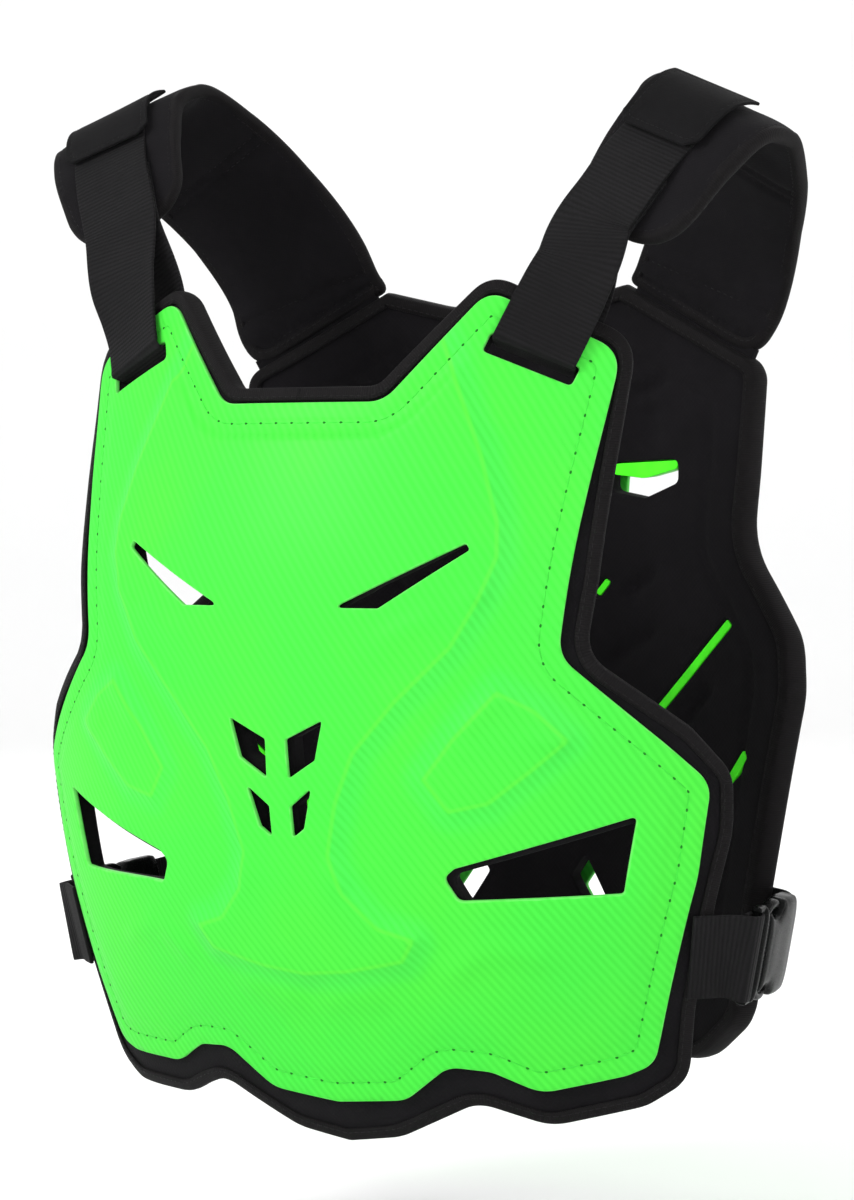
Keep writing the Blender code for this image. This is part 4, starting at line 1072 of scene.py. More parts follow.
def pad_height(flat, edge, length):
    """Half the pad's thickness: a crown from the edge, less a furrow at each seam."""
    crown = np.sqrt(np.clip(1 - (1 - np.clip(edge / PAD_CROWN, 0, 1)) ** 2, 0, 1))
    half = PAD_EDGE / 2 + (PAD / 2 + PAD_SWELL - PAD_EDGE / 2) * crown
    for share, depth, width in PAD_SEAMS:
        furrow = depth * MM * bell(flat[:, 0] - share * length, width * MM)
        half = half - furrow * ramp(edge / PAD_SEAM_RISE)
    return half


def on_path(path, sign, shift=0.0):
    """A path as a form: the pattern's coordinates are along it and across it."""
    return lambda s, w, t: mirrored(path.place(s, w + shift, t), sign)


def make_pad(side):
    path, middle = pad_paths[side], -PAD / 2
    form = on_path(path, MIRROR[side])
    loop = pad_loop(path, EDGE_SPACING)
    half = PAD_EDGE / 2 + PAD_TAPE_GAP

    def low(flat, edge):
        return middle - pad_height(flat, edge, path.length) + uneven(flat, *PAD_WAVES)

    def high(flat, edge):
        return middle + pad_height(flat, edge, path.length) + uneven(flat[:, ::-1], *PAD_FACE_WAVES)

    pad = shell(
        "shoulder_pad_foam_" + side, outwards(loop, -PAD_INSET), [], PAD_STEP, form, low, high,
        PAD_RIM, rows=PAD_ROWS)
    tape = make_tape(
        "shoulder_pad_tape_" + side, loop, form, PAD_TAPE_LIP, middle - half, middle + half, PAD_TAPE)
    return pad, tape


def make_hinge(side):
    """A strip of cloth across the joint of the pad and the back panel, half its width sewn
    into each, so that no light comes through."""
    neck, arm, run, up = pad_root()
    ends = neck + run * HINGE_INSET, arm - run * HINGE_INSET
    places = ((0, -1), (1, -1), (1, 1), (0, 1))
    ring = np.array([ends[end] + up * rise * HINGE_REACH for end, rise in places])
    loop = turned_left(evenly(ring, HINGE_SPACING))
    low, high = (level(height) for height in HINGE_LEVELS)
    return shell(
        "shoulder_hinge_" + side, loop, [], HINGE_STEP,
        lambda u, z, t: mirrored(back_point(u, z, t), MIRROR[side]), low, high, HINGE_RIM)


pads, pad_tapes, hinges = {}, {}, {}
for side in MIRROR:
    pads[side], pad_tapes[side] = make_pad(side)
    hinges[side] = make_hinge(side)
print("pads:", [pad.name for pad in pads.values()])

# %% [markdown]
# ## Webbing
# Webbing is woven flat, 40 mm wide and 2 mm thick. A strip is one section carried along its
# path: a superellipse, whose width is x = a |cos| ** (2 / n) and whose thickness is
# y = b |sin| ** (2 / n). A high power n gives the flat faces and tight edges of webbing,
# and the same builder with a lower power makes bars, prongs and buckle bodies. Each
# shoulder strap comes down over the tongue of its pad, passes in front of the plate, turns
# round the top of the slot and runs back up behind the liner.

# %% A section carried along a path
CAP_TURNS = np.radians([30, 60, 84])
CAP_SHRINK = 3.0 * MM
WEB_POWER = 9.0
WEB_STEP = 1.6 * MM
FEWEST_RINGS = 8


def swept(name, points, across, outward, half_width, half_depth, power, sides=28, cap=0.3 * MM):
    """Superellipse rings along a path, closed at both ends by three shrinking rings."""
    angle = full_turn(sides)
    x, y = (np.sign(part) * np.abs(part) ** (2 / power) for part in (np.cos(angle), np.sin(angle)))
    count = len(points)
    wide, deep = np.broadcast_to(half_width, count), np.broadcast_to(half_depth, count)
    across, outward = np.broadcast_to(across, (count, 3)), np.broadcast_to(outward, (count, 3))
    ahead = unit(np.gradient(points, axis=0))
    first = [(0, -cap * np.sin(q), np.cos(q)) for q in CAP_TURNS[::-1]]
    last = [(count - 1, cap * np.sin(q), np.cos(q)) for q in CAP_TURNS]
    rows = np.array(first + [(k, 0.0, 1.0) for k in range(count)] + last)
    index, shrink = rows[:, 0].astype(int), rows[:, 2]
    centre = points[index] + ahead[index] * rows[:, 1:2]
    w = (wide[index] - (1 - shrink) * np.minimum(wide[index], CAP_SHRINK))[:, None] * x
    t = (deep[index] * shrink)[:, None] * y
    rings = centre[:, None] + across[index][:, None] * w[..., None] + outward[index][:, None] * t[..., None]
    along = run_length(points)[index] + rows[:, 1]
    pattern = np.stack([w, np.broadcast_to(along[:, None], w.shape)], axis=-1)
    ring = np.arange(rings.shape[0] * sides).reshape(-1, sides)
    faces = [
        quads(ring[:-1], ring[1:], turned=True),
        fan(ring.size, ring[0])[:, [0, 2, 1]],
        fan(ring.size + 1, ring[-1]),
    ]
    points = np.vstack([rings.reshape(-1, 3), centre[:1], centre[-1:]])
    flat = np.vstack([pattern.reshape(-1, 2), [[0, along[0]], [0, along[-1]]]])
    return put_mesh(name, points, faced_out(points, faces), flat)


def ribbon(name, path, sign, step=WEB_STEP):
    """Webbing along a path, mirrored for the wearer's right."""
    s = np.linspace(0, path.length, max(FEWEST_RINGS, int(path.length / step)))
    middle, across, outward = (mirrored(part, sign) for part in path.read(s))
    return swept(name, middle, unit(across), unit(outward), WEB_HALF, WEBBING / 2, WEB_POWER)


# %% Shoulder straps
PAD_BENDS = (
    # share of the pad's length
    -0.05, 0.040, 0.120, 0.200, 0.280, 0.350, 0.410, 0.465, 0.520, 0.575, 0.630, 0.690, 0.750,
    0.815, 0.880, 0.945, 1.05,
)
TAB_BENDS = (10, 13)
WEB_BENDS = (11, 17)
UNDER_BEND = 14
TIP_LIFT = 0.8 * MM
WEB_SHIFT = {"left": -6.5 * MM, "right": 1.0 * MM}
WEB_HALF = SHOULDER_WEB / 2
STRAP_DOWN = (
    # above the slot and further out, in millimetres, and the share turned like the pad's end
    (40, 4.0, 0.62), (26, 1.8, 0.28), (13, 0.3, 0.05), (3, 0.0, 0.0),
)
STRAP_TURNS = np.radians([18, 50, 90, 130, 162])
STRAP_BULGE = 0.6 * MM
STRAP_UP = ((3, 0.0), (13, 0.0), (26, -0.4))


def shoulder_strap_path(pad, shift):
    """The hairpin: down the outer face of the tongue, in front of the plate to the slot,
    round the strip of plate and liner above the slot, and back up on to the tongue."""
    one_up = TAPE_GAP + WEBBING / 2
    two_up = one_up + GAP + WEBBING
    points, across = [], []

    def add(point, side):
        points.append(point)
        across.append(unit(side))

    def on_pad(bend, lift):
        s = np.array([min(PAD_BENDS[bend], 1.0) * pad.length])
        lift = lift + TIP_LIFT * max(0, bend - UNDER_BEND)
        side = pad.place(s, np.array([NUDGE]), np.zeros(1)) - pad.place(s, np.zeros(1), np.zeros(1))
        add(pad.place(s, np.array([shift]), np.array([lift]))[0], side[0])

    slot = scaled(STRAP_SLOT)[:, :2]
    high = (slot[1] + slot[2]) / 2
    run = unit(slot[2] - slot[1])
    up = left_of(run)

    def on_panel(rise, out, turned=0.0):
        """A point above or below the slot's upper edge, out from the chest form. Its
        direction across may be turned a share of the way to that of the pad's end."""
        u, z = (high + up * rise)[:, None]
        here, there = (
            front_point(u + step * run[0], z + step * run[1], np.array([out]))[0] for step in (0, NUDGE))
        add(here, unit(there - here) * (1 - turned) + pad.side[-1] * turned)

    outer = GAP + PLATE + 3 * GAP + WEBBING / 2
    inner = -LINER - TAPE_GAP - TAPE - WIDE_GAP - WEBBING / 2
    for bend in range(*WEB_BENDS):
        on_pad(bend, two_up if bend >= UNDER_BEND else one_up)
    for rise, out, turned in STRAP_DOWN:
        on_panel(rise * MM, outer + out * MM, turned)
    middle, radius = (outer + inner) / 2, (outer - inner) / 2
    for angle in STRAP_TURNS:
        below = WEBBING / 2 + GAP + STRAP_BULGE * math.sin(angle)
        on_panel(-below, middle + radius * math.cos(angle))
    for rise, out in STRAP_UP:
        on_panel(rise * MM, inner + out * MM)
    for bend in range(WEB_BENDS[1] - 1, UNDER_BEND - 1, -1):
        on_pad(bend, one_up)
    return Path(points, across, samples=2000)


shoulder_straps = {}
for side, sign in MIRROR.items():
    strap_path = shoulder_strap_path(pad_paths[side], WEB_SHIFT[side])
    shoulder_straps[side] = ribbon("shoulder_webbing_" + side, strap_path, sign)
    print(shoulder_straps[side].name, round(strap_path.length, 3), "m long")

# %% [markdown]
# ## Tab patches
# A patch of doubled cloth lies over the start of each strap on top of the shoulder. Its
# front corners are cut off and its front end lifts a little. Its face is plain. Round it
# runs a sewn border, which is a shallow furrow on the pattern.

# %% Tabs
TAB_HALF = 23.5 * MM
TAB_CUT = 5.0 * MM
TAB_CORNER = 1.0 * MM
TAB_END_CORNER = 1.5 * MM
TAB_SPACING = 1.2 * MM
TAB_STEP = 2.0 * MM
TAB_RIM = 0.6 * MM
TAB_BORDER = 3.2 * MM
TAB_ROWS = (TAB_BORDER - 1.0 * MM, TAB_BORDER, TAB_BORDER + 1.0 * MM)
# depth and half width
TAB_FURROW = (0.45 * MM, 0.7 * MM)
TAB_SEAM_SUNK = 0.3 * MM
TAB_LIFT = TAPE_GAP + WEBBING + 3 * GAP
TAB_CURL = 0.9 * MM
TAB_CURL_FROM = 9.0 * MM


def make_tab(side):
    """The patch, and what its sewing needs: its loop, its form and its height there."""
    first, last = (PAD_BENDS[k] * pad_paths[side].length for k in TAB_BENDS)
    neck_side = [
        (first, -TAB_HALF, TAB_END_CORNER), (last - TAB_CUT, -TAB_HALF, TAB_CORNER),
        (last, TAB_CUT - TAB_HALF, TAB_CORNER)]
    arm_side = [(s, -w, corner) for s, w, corner in neck_side[::-1]]
    loop = rounded(np.array(neck_side + arm_side), TAB_SPACING)
    form = on_path(pad_paths[side], MIRROR[side], WEB_SHIFT[side])
    depth, width = TAB_FURROW

    def low(flat, edge):
        return TAB_LIFT + TAB_CURL * ramp((flat[:, 0] - last + TAB_CURL_FROM) / TAB_CURL_FROM)

    def high(flat, edge):
        return low(flat, edge) + TAB - depth * bell(edge - TAB_BORDER, width)

    tab = shell(
        "shoulder_tab_" + side, loop, [], TAB_STEP, form, low, high, TAB_RIM, rows=TAB_ROWS)
    return tab, (loop, form, lambda flat: low(flat, None) + TAB - TAB_SEAM_SUNK)


tabs = {side: make_tab(side) for side in MIRROR}
print("tabs:", [tab.name for tab, _ in tabs.values()])

# %% [markdown]
# ## Waist webbing and side-release buckles
# On each side a strip of webbing leaves the chest panel from under the plate's edge, turns
# round the bar of the buckle's plug, and a second strip joins the socket to the back panel.
# The plug is a frame: a bar, two side arms and a cross body, with two springy prongs that
# show in the socket's side windows. The socket is one flat body whose half width is a
# smooth function of the distance along it: narrow at the windows, wide and rounded behind.

# %% Waist straps
WAIST_UP = -249.0 * MM
WAIST_LEAN = 0.24
WAIST_ROWS = (0, 9, 18)
SEAT_GAP = 0.6 * MM
BUCKLE_LENGTH = 60.0 * MM
BUCKLE_HALF = 23.0 * MM
BUCKLE_BULGE = 6.0 * MM
BUCKLE_AT = 0.30
BAR_AT = 4.0 * MM
BAR_RADIUS = 1.7 * MM
BAR_ROOM = 0.2 * MM
BAR_TURNS = np.radians([90, 45, 0, -45, -90])
BAR_TAIL = (4, 8)
WAIST_STEP = 1.0 * MM


def waist_frame(sign):
    """The rows of both straps on their panels, and the buckle's own axes between them."""
    lift = TAPE_GAP + TAPE + SEAT_GAP + WEBBING / 2
    inset = WAIST_LEAN * WEB_HALF + 3 * GAP

    def on_form(form, loop, step):
        crosses, at = crossings(loop, WAIST_UP)
        u = np.max(at[crosses]) + inset + step * MM
        lean = np.array([0.0, -NUDGE, NUDGE])
        rows = form((u + WAIST_LEAN * lean) * sign, WAIST_UP + lean, np.full(3, lift))
        rows = mirrored(rows, sign)
        return rows[0], unit(rows[2] - rows[1])

    front_rows = [on_form(front_point, front_plate_loop, step) for step in WAIST_ROWS]
    back_rows = [on_form(back_point, back_plate_loop, step) for step in WAIST_ROWS[::-1]]
    run = back_rows[0][0] - front_rows[-1][0]
    span = np.linalg.norm(run)
    run /= span
    up = front_rows[-1][1] + back_rows[0][1]
    up = unit(up - run * (up @ run))
    outward = np.cross(run, up)
    outward *= np.sign(outward[0])
    start = front_rows[-1][0] + run * (span - BUCKLE_LENGTH) * BUCKLE_AT + outward * BUCKLE_BULGE
    return front_rows, back_rows, start, run, up, outward


def make_waist_straps(side, sign):
    """The front strip with its turn round the bar and its tail, and the back strip."""
    front_rows, back_rows, start, run, up, outward = waist_frame(sign)
    reach = BAR_RADIUS + WEBBING / 2 + BAR_ROOM

    def at(along, out):
        """A row of a strip, along the buckle in millimetres and out in bar reaches."""
        return start + run * along * MM + outward * reach * out, up

    bar = start + run * BAR_AT
    turns = [(bar + outward * reach * np.sin(q) + run * reach * np.cos(q), up) for q in BAR_TURNS]
    front = front_rows + [at(-5, 0.8)] + turns + [at(BAR_AT / MM - step, -1.0) for step in BAR_TAIL]
    end = BUCKLE_LENGTH / MM
    back = [at(end - 4, 0.0), at(end + 3, 0.0)] + back_rows
    straps = []
    for name, rows in (("waist_webbing_front_", front), ("waist_webbing_back_", back)):
        path = Path([row[0] for row in rows], [-row[1] for row in rows], samples=900)
        straps.append(ribbon(name + side, path, sign, WAIST_STEP))
    return straps


waist_straps = {side: make_waist_straps(side, sign) for side, sign in MIRROR.items()}
print("waist straps:", [strap.name for pair in waist_straps.values() for strap in pair])

# %% Buckles
SOCKET_WIDTH = (
    # distance along the buckle, half width, both in millimetres
    (15.6, 18.6), (17.5, 18.9), (20.0, 17.6), (24.0, 16.2), (29.0, 16.6), (33.0, 19.6),
    (36.5, 22.4), (41.0, 23.0), (52.0, 23.0), (57.0, 22.6), (59.0, 21.4), (60.0, 18.5),
)
SOCKET_THICK = (
    # distance along the buckle, half thickness
    (15.6, 4.4), (17.0, 5.0), (22.0, 5.6), (34.0, 6.0), (50.0, 6.0), (56.0, 5.4), (59.0, 4.3),
    (60.0, 3.0),
)
PLUG_WIDTH = ((8.7, 21.6), (9.9, 22.4), (13.6, 21.0), (15.2, 19.2))
PLUG_THICK = ((8.7, 3.2), (9.9, 4.0), (13.6, 4.2), (15.2, 4.0))
PRONG_LINE = (
    # along, across, half width, half depth, all in millimetres
    (12.0, 15.0, 2.4, 2.6), (16.5, 18.0, 2.3, 2.7), (21.0, 20.6, 2.1, 2.8),
    (26.0, 21.6, 2.1, 2.9), (31.0, 20.9, 2.3, 2.8), (35.5, 18.4, 2.6, 2.4),
)
BODY_STEP = 0.8
ROD_POINTS = 40
ARM_POINTS = 16
# power of the section, its number of sides, and length of the rounded ends
BODY_SHAPE = (5.0, 64, 0.8 * MM)
BAR_SHAPE = (2.4, 20, 0.6 * MM)
ARM_SHAPE = (3.0, 20, 0.8 * MM)
PRONG_SHAPE = (3.0, 24, 1.2 * MM)
BAR_INSET = 0.6 * MM
ARM_INSET = 1.7 * MM
ARM_SPAN = (BAR_AT - 1.5 * MM, 11.5 * MM)
ARM_HALF = (1.5 * MM, 2.4 * MM)


def make_buckle(side, sign):
    """The socket, and the parts of the plug: its body, its bar, two arms and two prongs."""
    _, _, start, run, up, outward = waist_frame(sign)
    across, out, along = (mirrored(part, sign) for part in (up, outward, run))

    def rod(name, s, w, wide, half_width, half_depth, shape):
        """A swept part through the points s along the buckle and w across it."""
        s, w = np.broadcast_arrays(s, w)
        rows = mirrored(start + s[..., None] * run + w[..., None] * up, sign)
        return swept(name, rows, wide, out, half_width, half_depth, *shape)

    def body(name, width, thick):
        s = np.arange(width[0][0], width[-1][0] + 0.01, BODY_STEP)
        half_width, half_depth = (smooth_table(table, s)[:, 0] * MM for table in (width, thick))
        return rod(name, s * MM, 0.0, across, half_width, half_depth, BODY_SHAPE)

    socket = body("buckle_socket_body_" + side, SOCKET_WIDTH, SOCKET_THICK)
    plug = body("buckle_plug_body_" + side, PLUG_WIDTH, PLUG_THICK)
    w = np.linspace(-1, 1, ROD_POINTS) * (BUCKLE_HALF - BAR_INSET)
    parts = [plug, rod("buckle_plug_bar_" + side, BAR_AT, w, along, BAR_RADIUS, BAR_RADIUS, BAR_SHAPE)]
    for where, end in (("down", -1.0), ("up", 1.0)):
        s = np.linspace(*ARM_SPAN, ARM_POINTS)
        w = end * (BUCKLE_HALF - ARM_INSET)
        parts.append(rod(f"buckle_plug_arm_{side}_{where}", s, w, across, *ARM_HALF, ARM_SHAPE))
        s = np.linspace(PRONG_LINE[0][0], PRONG_LINE[-1][0], ROD_POINTS)
        w, *halves = (smooth_table(PRONG_LINE, s) * MM).T
        parts.append(rod(f"buckle_prong_{side}_{where}", s * MM, end * w, across, *halves, PRONG_SHAPE))
    return socket, parts


buckles = {side: make_buckle(side, sign) for side, sign in MIRROR.items()}
print("buckle pieces:", sum(len(parts) + 1 for _, parts in buckles.values()))

# %% [markdown]
# ## Thread
# A row of sewing is many short bars of thread. Each one is a small tube whose middle rises
# over the surface as half a sine wave and goes into the cloth at both ends. All the bars of
# a row are one array, so thousands of them are one joined mesh. The line of sewing is drawn
# on the flat pattern and pressed on to the form with the cloth. On the plates a dark dot
# between two bars is painted shade, standing for the shadow in the needle hole.

# %% Bars of thread
BAR_RINGS = 4
BAR_SIDES = 5
BAR_SUNK = 0.45
LINE_SLACK = 0.93


def offset_line(loop, distance):
    """The loop moved inwards and closed, without the points that a tight corner pushes too
    close to it."""
    line = outwards(loop, -distance)
    line = line[distance_to(line, loop) > LINE_SLACK * distance]
    return np.vstack([line, line[:1]])


def stitches(name, lines, form, height, kind, shift=0.0, proud=0.8):
    """Bars of thread along lines on the pattern. height gives the cloth's height there, and
    kind the thread's pitch, length and radius in millimetres."""
    pitch, length, radius = np.array(kind) * MM
    share = np.linspace(0, 1, BAR_RINGS)
    bulge = np.sin(math.pi * share)
    angle = full_turn(BAR_SIDES)
    thick = radius * (0.5 + 0.5 * bulge)
    across = thick[:, None] * np.cos(angle)
    lift = thick[:, None] * np.sin(angle) + radius * (proud * bulge - BAR_SUNK)[:, None]
    flats, lifts = [], []
    for line in lines:
        at = run_length(line)
        number = max(1, int(round(at[-1] / pitch)))
        start = (np.arange(number) + 0.5 + shift) * at[-1] / number - length / 2
        centre = picked((start[:, None] + share * length) % at[-1], at, line)
        side = left_of(unit(centre[:, -1] - centre[:, 0]))
        flats.append((centre[:, :, None] + side[:, None, None] * across[..., None]).reshape(-1, 2))
        lifts.append(np.broadcast_to(lift, (number,) + lift.shape).ravel())
    flat, lift = np.vstack(flats), np.concatenate(lifts)
    points = form(*flat.T, height(flat) + lift)
    bars = points.reshape(-1, BAR_RINGS * BAR_SIDES, 3)
    ring = np.arange(BAR_RINGS * BAR_SIDES).reshape(BAR_RINGS, BAR_SIDES)
    first = (np.arange(len(bars)) * ring.size)[:, None, None]
    band = quads(ring[:-1], ring[1:], turned=True)
    bands = (first + band).reshape(-1, 4)
    caps = (first + np.stack([ring[0][::-1], ring[-1]])).reshape(-1, BAR_SIDES)
    a, b, c, d = (points[bands[:, k]] for k in range(4))
    middles = np.repeat(bars.mean(axis=1), len(band), axis=0)
    if np.sum(np.cross(c - a, d - b) * (a - middles)) < 0:
        bands, caps = bands[:, ::-1], caps[:, ::-1]
    return put_mesh(name, points, [bands, caps], flat)


# %% Sewing on the plates, the tapes, the pads and the tabs
# Each kind of sewing has its pitch, and the length and radius of a bar, in millimetres.
PLATE_THREAD = (8.5, 6.2, 0.30)
NEEDLE_MARK = (8.5, 1.7, 0.62)
TAPE_THREAD = (3.4, 2.6, 0.24)
PAD_THREAD = (3.6, 2.8, 0.26)
TAB_THREAD = (3.0, 2.2, 0.24)
TAPE_SEAM_IN = 5.4 * MM
PAD_TAPE_SEAM_IN = 4.6 * MM
PAD_SEAM_INSET = 7.0 * MM
SEAM_REACH = 0.2
SEAM_POINTS = 400


def plate_sewing(name, loop, relief, form):
    """Thread, and dark dots of painted shade at the needle holes, in the groove of a plate."""
    def height(flat):
        return relief(flat, distance_to(flat, loop)) + PLATE_FACE

    lines = [offset_line(loop, SEAM_IN)]
    thread = stitches(name + "_thread", lines, form, height, PLATE_THREAD)
    # Dark dots between the bars: painted shade standing for the shadow in each needle hole.
    dimples = stitches(name + "_needle_hole_shade", lines, form, height, NEEDLE_MARK, shift=0.5, proud=0.35)
    return thread, dimples


def both_faces(name, ending, lines, form, thickness, height, kind):
    """The same sewing on the outer face and, mirrored in height, on the inner face."""
    faces = {"out": form, "in": lambda u, z, t: form(u, z, -thickness - t)}
    return [stitches(f"{name}_thread_{face}{ending}", lines, at, height, kind) for face, at in faces.items()]


def pad_sewing(side):
    """The rows on a pad's tape, across the pad and on its tab."""
    path = pad_paths[side]
    form = on_path(path, MIRROR[side])
    loop = pad_loop(path, EDGE_SPACING)
    tape_top = -PAD / 2 + PAD_EDGE / 2 + PAD_TAPE_GAP + PAD_TAPE
    seams = []
    across = np.linspace(-SEAM_REACH, SEAM_REACH, SEAM_POINTS)
    for share, _, _ in PAD_SEAMS:
        line = np.column_stack([np.full(SEAM_POINTS, share * path.length), across])
        seams.append(line[is_inside(line, outwards(loop, -PAD_SEAM_INSET))])

    def seam_height(flat):
        return -PAD / 2 + pad_height(flat, distance_to(flat, loop), path.length)

    tape_lines = [offset_line(loop, PAD_TAPE_SEAM_IN)]
    rows = both_faces("pad_tape", "_" + side, tape_lines, form, PAD, level(tape_top), TAPE_THREAD)
    rows += both_faces("pad_seam", "_" + side, seams, form, PAD, seam_height, PAD_THREAD)
    tab_loop, tab_form, tab_height = tabs[side][1]
    tab_lines = [offset_line(tab_loop, TAB_BORDER)]
    return rows + [stitches("tab_thread_" + side, tab_lines, tab_form, tab_height, TAB_THREAD)]


plate_threads = [
    plate_sewing("chest_plate", front_plate_loop, front_relief, front_plate_point),
    plate_sewing("back_plate", back_plate_loop, back_relief, back_plate_point),
]
tapes = {"chest_tape": (front_edge_loop, front_point), "back_tape": (back_edge_loop, back_point)}
threads = []
for name, (loop, form) in tapes.items():
    lines = [offset_line(loop, TAPE_SEAM_IN)]
    threads += both_faces(name, "", lines, form, LINER, level(TAPE_GAP + TAPE), TAPE_THREAD)
for side in MIRROR:
    threads += pad_sewing(side)
print("thread:", sum(len(piece.data.polygons) for piece in threads), "faces")

# %% [markdown]
# ## Shader groups
# Five effects are shared, so each is built once as a node group with named sockets: ribs
# (lines of one direction, for twill, tape and webbing), plain weave, foam grain (fine
# mottled bumps), edge wear (a mask near a piece's edge, broken up by noise) and dust (large
# soft patches). They put out only masks and heights. The shader stays in each material.
# Patterns read the flat pattern's coordinates, which are metres, so a pitch is a real size.

# %% Node helpers
class Tree:
    """A node tree with short ways to add to it."""

    def __init__(self, tree):
        self.tree = tree

    def feed(self, socket, value):
        """Link a socket to another one, or set it to a value."""
        if isinstance(value, bpy.types.NodeSocket):
            self.tree.links.new(value, socket)
        else:
            socket.default_value = value

    def node(self, kind, inputs=None, **settings):
        """The outputs of a new shader node with its settings and its inputs."""
        made = self.tree.nodes.new("ShaderNode" + kind)
        for name, value in settings.items():
            setattr(made, name, value)
        for name, value in (inputs or {}).items():
            self.feed(made.inputs[name], value)
        return made.outputs

    def maths(self, operation, *values):
        return self.node("Math", dict(enumerate(values)), operation=operation)[0]

    def span(self, value, low, high, top=1.0, kind="LINEAR"):
        """Zero at low, rising to top at high."""
        inputs = {"Value": value, "From Min": low, "From Max": high, "To Max": top}
        return self.node("MapRange", inputs, interpolation_type=kind)[0]

    def noise(self, place, scale, detail):
        return self.node("TexNoise", {"Vector": place, "Scale": scale, "Detail": detail})["Fac"]


class Group(Tree):
    """A node group: one vector and some numbers go in, and one number comes out."""

    def __init__(self, name, vector, result, **numbers):
        super().__init__(bpy.data.node_groups.new(name, "ShaderNodeTree"))
        add = self.tree.interface.new_socket
        add(vector, in_out="INPUT", socket_type="NodeSocketVector")
        for socket, value in numbers.items():
            add(socket, in_out="INPUT", socket_type="NodeSocketFloat").default_value = value
        add(result, in_out="OUTPUT", socket_type="NodeSocketFloat")
        self.given = self.tree.nodes.new("NodeGroupInput").outputs
        self.result = self.tree.nodes.new("NodeGroupOutput").inputs[0]


# %% Ribs and weave
def make_ribs():
    """Lines at one slant: a sine of the distance across them, counted in pitches."""
    group = Group("ribs", "Pattern", "Height", Pitch=2 * MM, Slant=0.0, Sharpness=1.0)
    maths, given = group.maths, group.given
    x, y, _ = group.node("SeparateXYZ", {0: given["Pattern"]})
    x = maths("MULTIPLY", x, maths("COSINE", given["Slant"]))
    y = maths("MULTIPLY", y, maths("SINE", given["Slant"]))
    phase = maths("DIVIDE", maths("ADD", x, y), given["Pitch"])
    wave = maths("MULTIPLY_ADD", maths("SINE", maths("MULTIPLY", phase, 2 * math.pi)), 0.5, 0.5)
    group.feed(group.result, maths("POWER", wave, given["Sharpness"]))
    return group.tree


def make_weave():
    """Plain weave: the warp's and the weft's waves take turns on top, as the sign of their
    product changes from one crossing to the next."""
    group = Group("weave", "Pattern", "Height", Pitch=1 * MM)
    maths, given = group.maths, group.given
    parts = group.node("SeparateXYZ", {0: given["Pattern"]})
    turns = [maths("MULTIPLY", maths("DIVIDE", parts[k], given["Pitch"]), math.pi) for k in (0, 1)]
    warp, weft = (maths("SINE", turn) for turn in turns)
    mixed = maths("MULTIPLY_ADD", maths("MULTIPLY", warp, weft), 0.3, 0.5)
    over = maths("ABSOLUTE", maths("SUBTRACT", maths("ABSOLUTE", warp), maths("ABSOLUTE", weft)))
    group.feed(group.result, maths("MULTIPLY_ADD", over, 0.2, mixed))
    return group.tree


# %% Grain, wear and dust
FINE_SCALE = 2.7
WEAR_NOISE = (160.0, 3.0)
WEAR_LIMITS = (1.05, 1.45)
DUST_LIMITS = (0.42, 0.68)


def make_grain():
    """Fine mottled bumps: two sizes of noise added, the smaller at half strength."""
    group = Group("grain", "Place", "Height", Size=1 * MM)
    place = group.given["Place"]
    scale = group.maths("DIVIDE", 1.0, group.given["Size"])
    coarse = group.noise(place, scale, 2.0)
    fine = group.noise(place, group.maths("MULTIPLY", scale, FINE_SCALE), 1.0)
    group.feed(group.result, group.maths("MULTIPLY_ADD", fine, 0.5, coarse))
    return group.tree


def make_wear():
    """One at the edge and zero a reach away, broken up by noise, so that the scuffs are
    uneven spots along the edge."""
    group = Group("edge_wear", "Place", "Mask", Edge=0.01, Reach=2 * MM, Amount=0.5)
    maths, given = group.maths, group.given
    near = maths("SUBTRACT", 1.0, maths("DIVIDE", given["Edge"], given["Reach"]))
    noise = group.noise(given["Place"], *WEAR_NOISE)
    broken = group.span(maths("ADD", near, noise), *WEAR_LIMITS)
    group.feed(group.result, maths("MULTIPLY", broken, given["Amount"]))
    return group.tree


def make_dust():
    """Large soft patches of noise between two limits."""
    group = Group("dust", "Place", "Mask", Size=0.05, Amount=0.5)
    scale = group.maths("DIVIDE", 1.0, group.given["Size"])
    soft = group.span(group.noise(group.given["Place"], scale, 4.0), *DUST_LIMITS)
    group.feed(group.result, group.maths("MULTIPLY", soft, group.given["Amount"]))
    return group.tree


RIBS, WEAVE, GRAIN, WEAR, DUST = make_ribs(), make_weave(), make_grain(), make_wear(), make_dust()
print("groups:", [tree.name for tree in (RIBS, WEAVE, GRAIN, WEAR, DUST)])

# %% [markdown]
# ## Materials
# Every finish starts in the same way: a Principled shader, the pattern's coordinates from
# the UV map and the place from Object coordinates. A finish then mixes its colours by masks
# and puts each of its heights through a Bump node of its own, one after the other.

# %% Material helpers
SHADER_SOCKETS = (
    "Roughness", "Specular IOR Level", "Sheen Weight", "Sheen Roughness", "Coat Weight", "Coat Roughness",
)


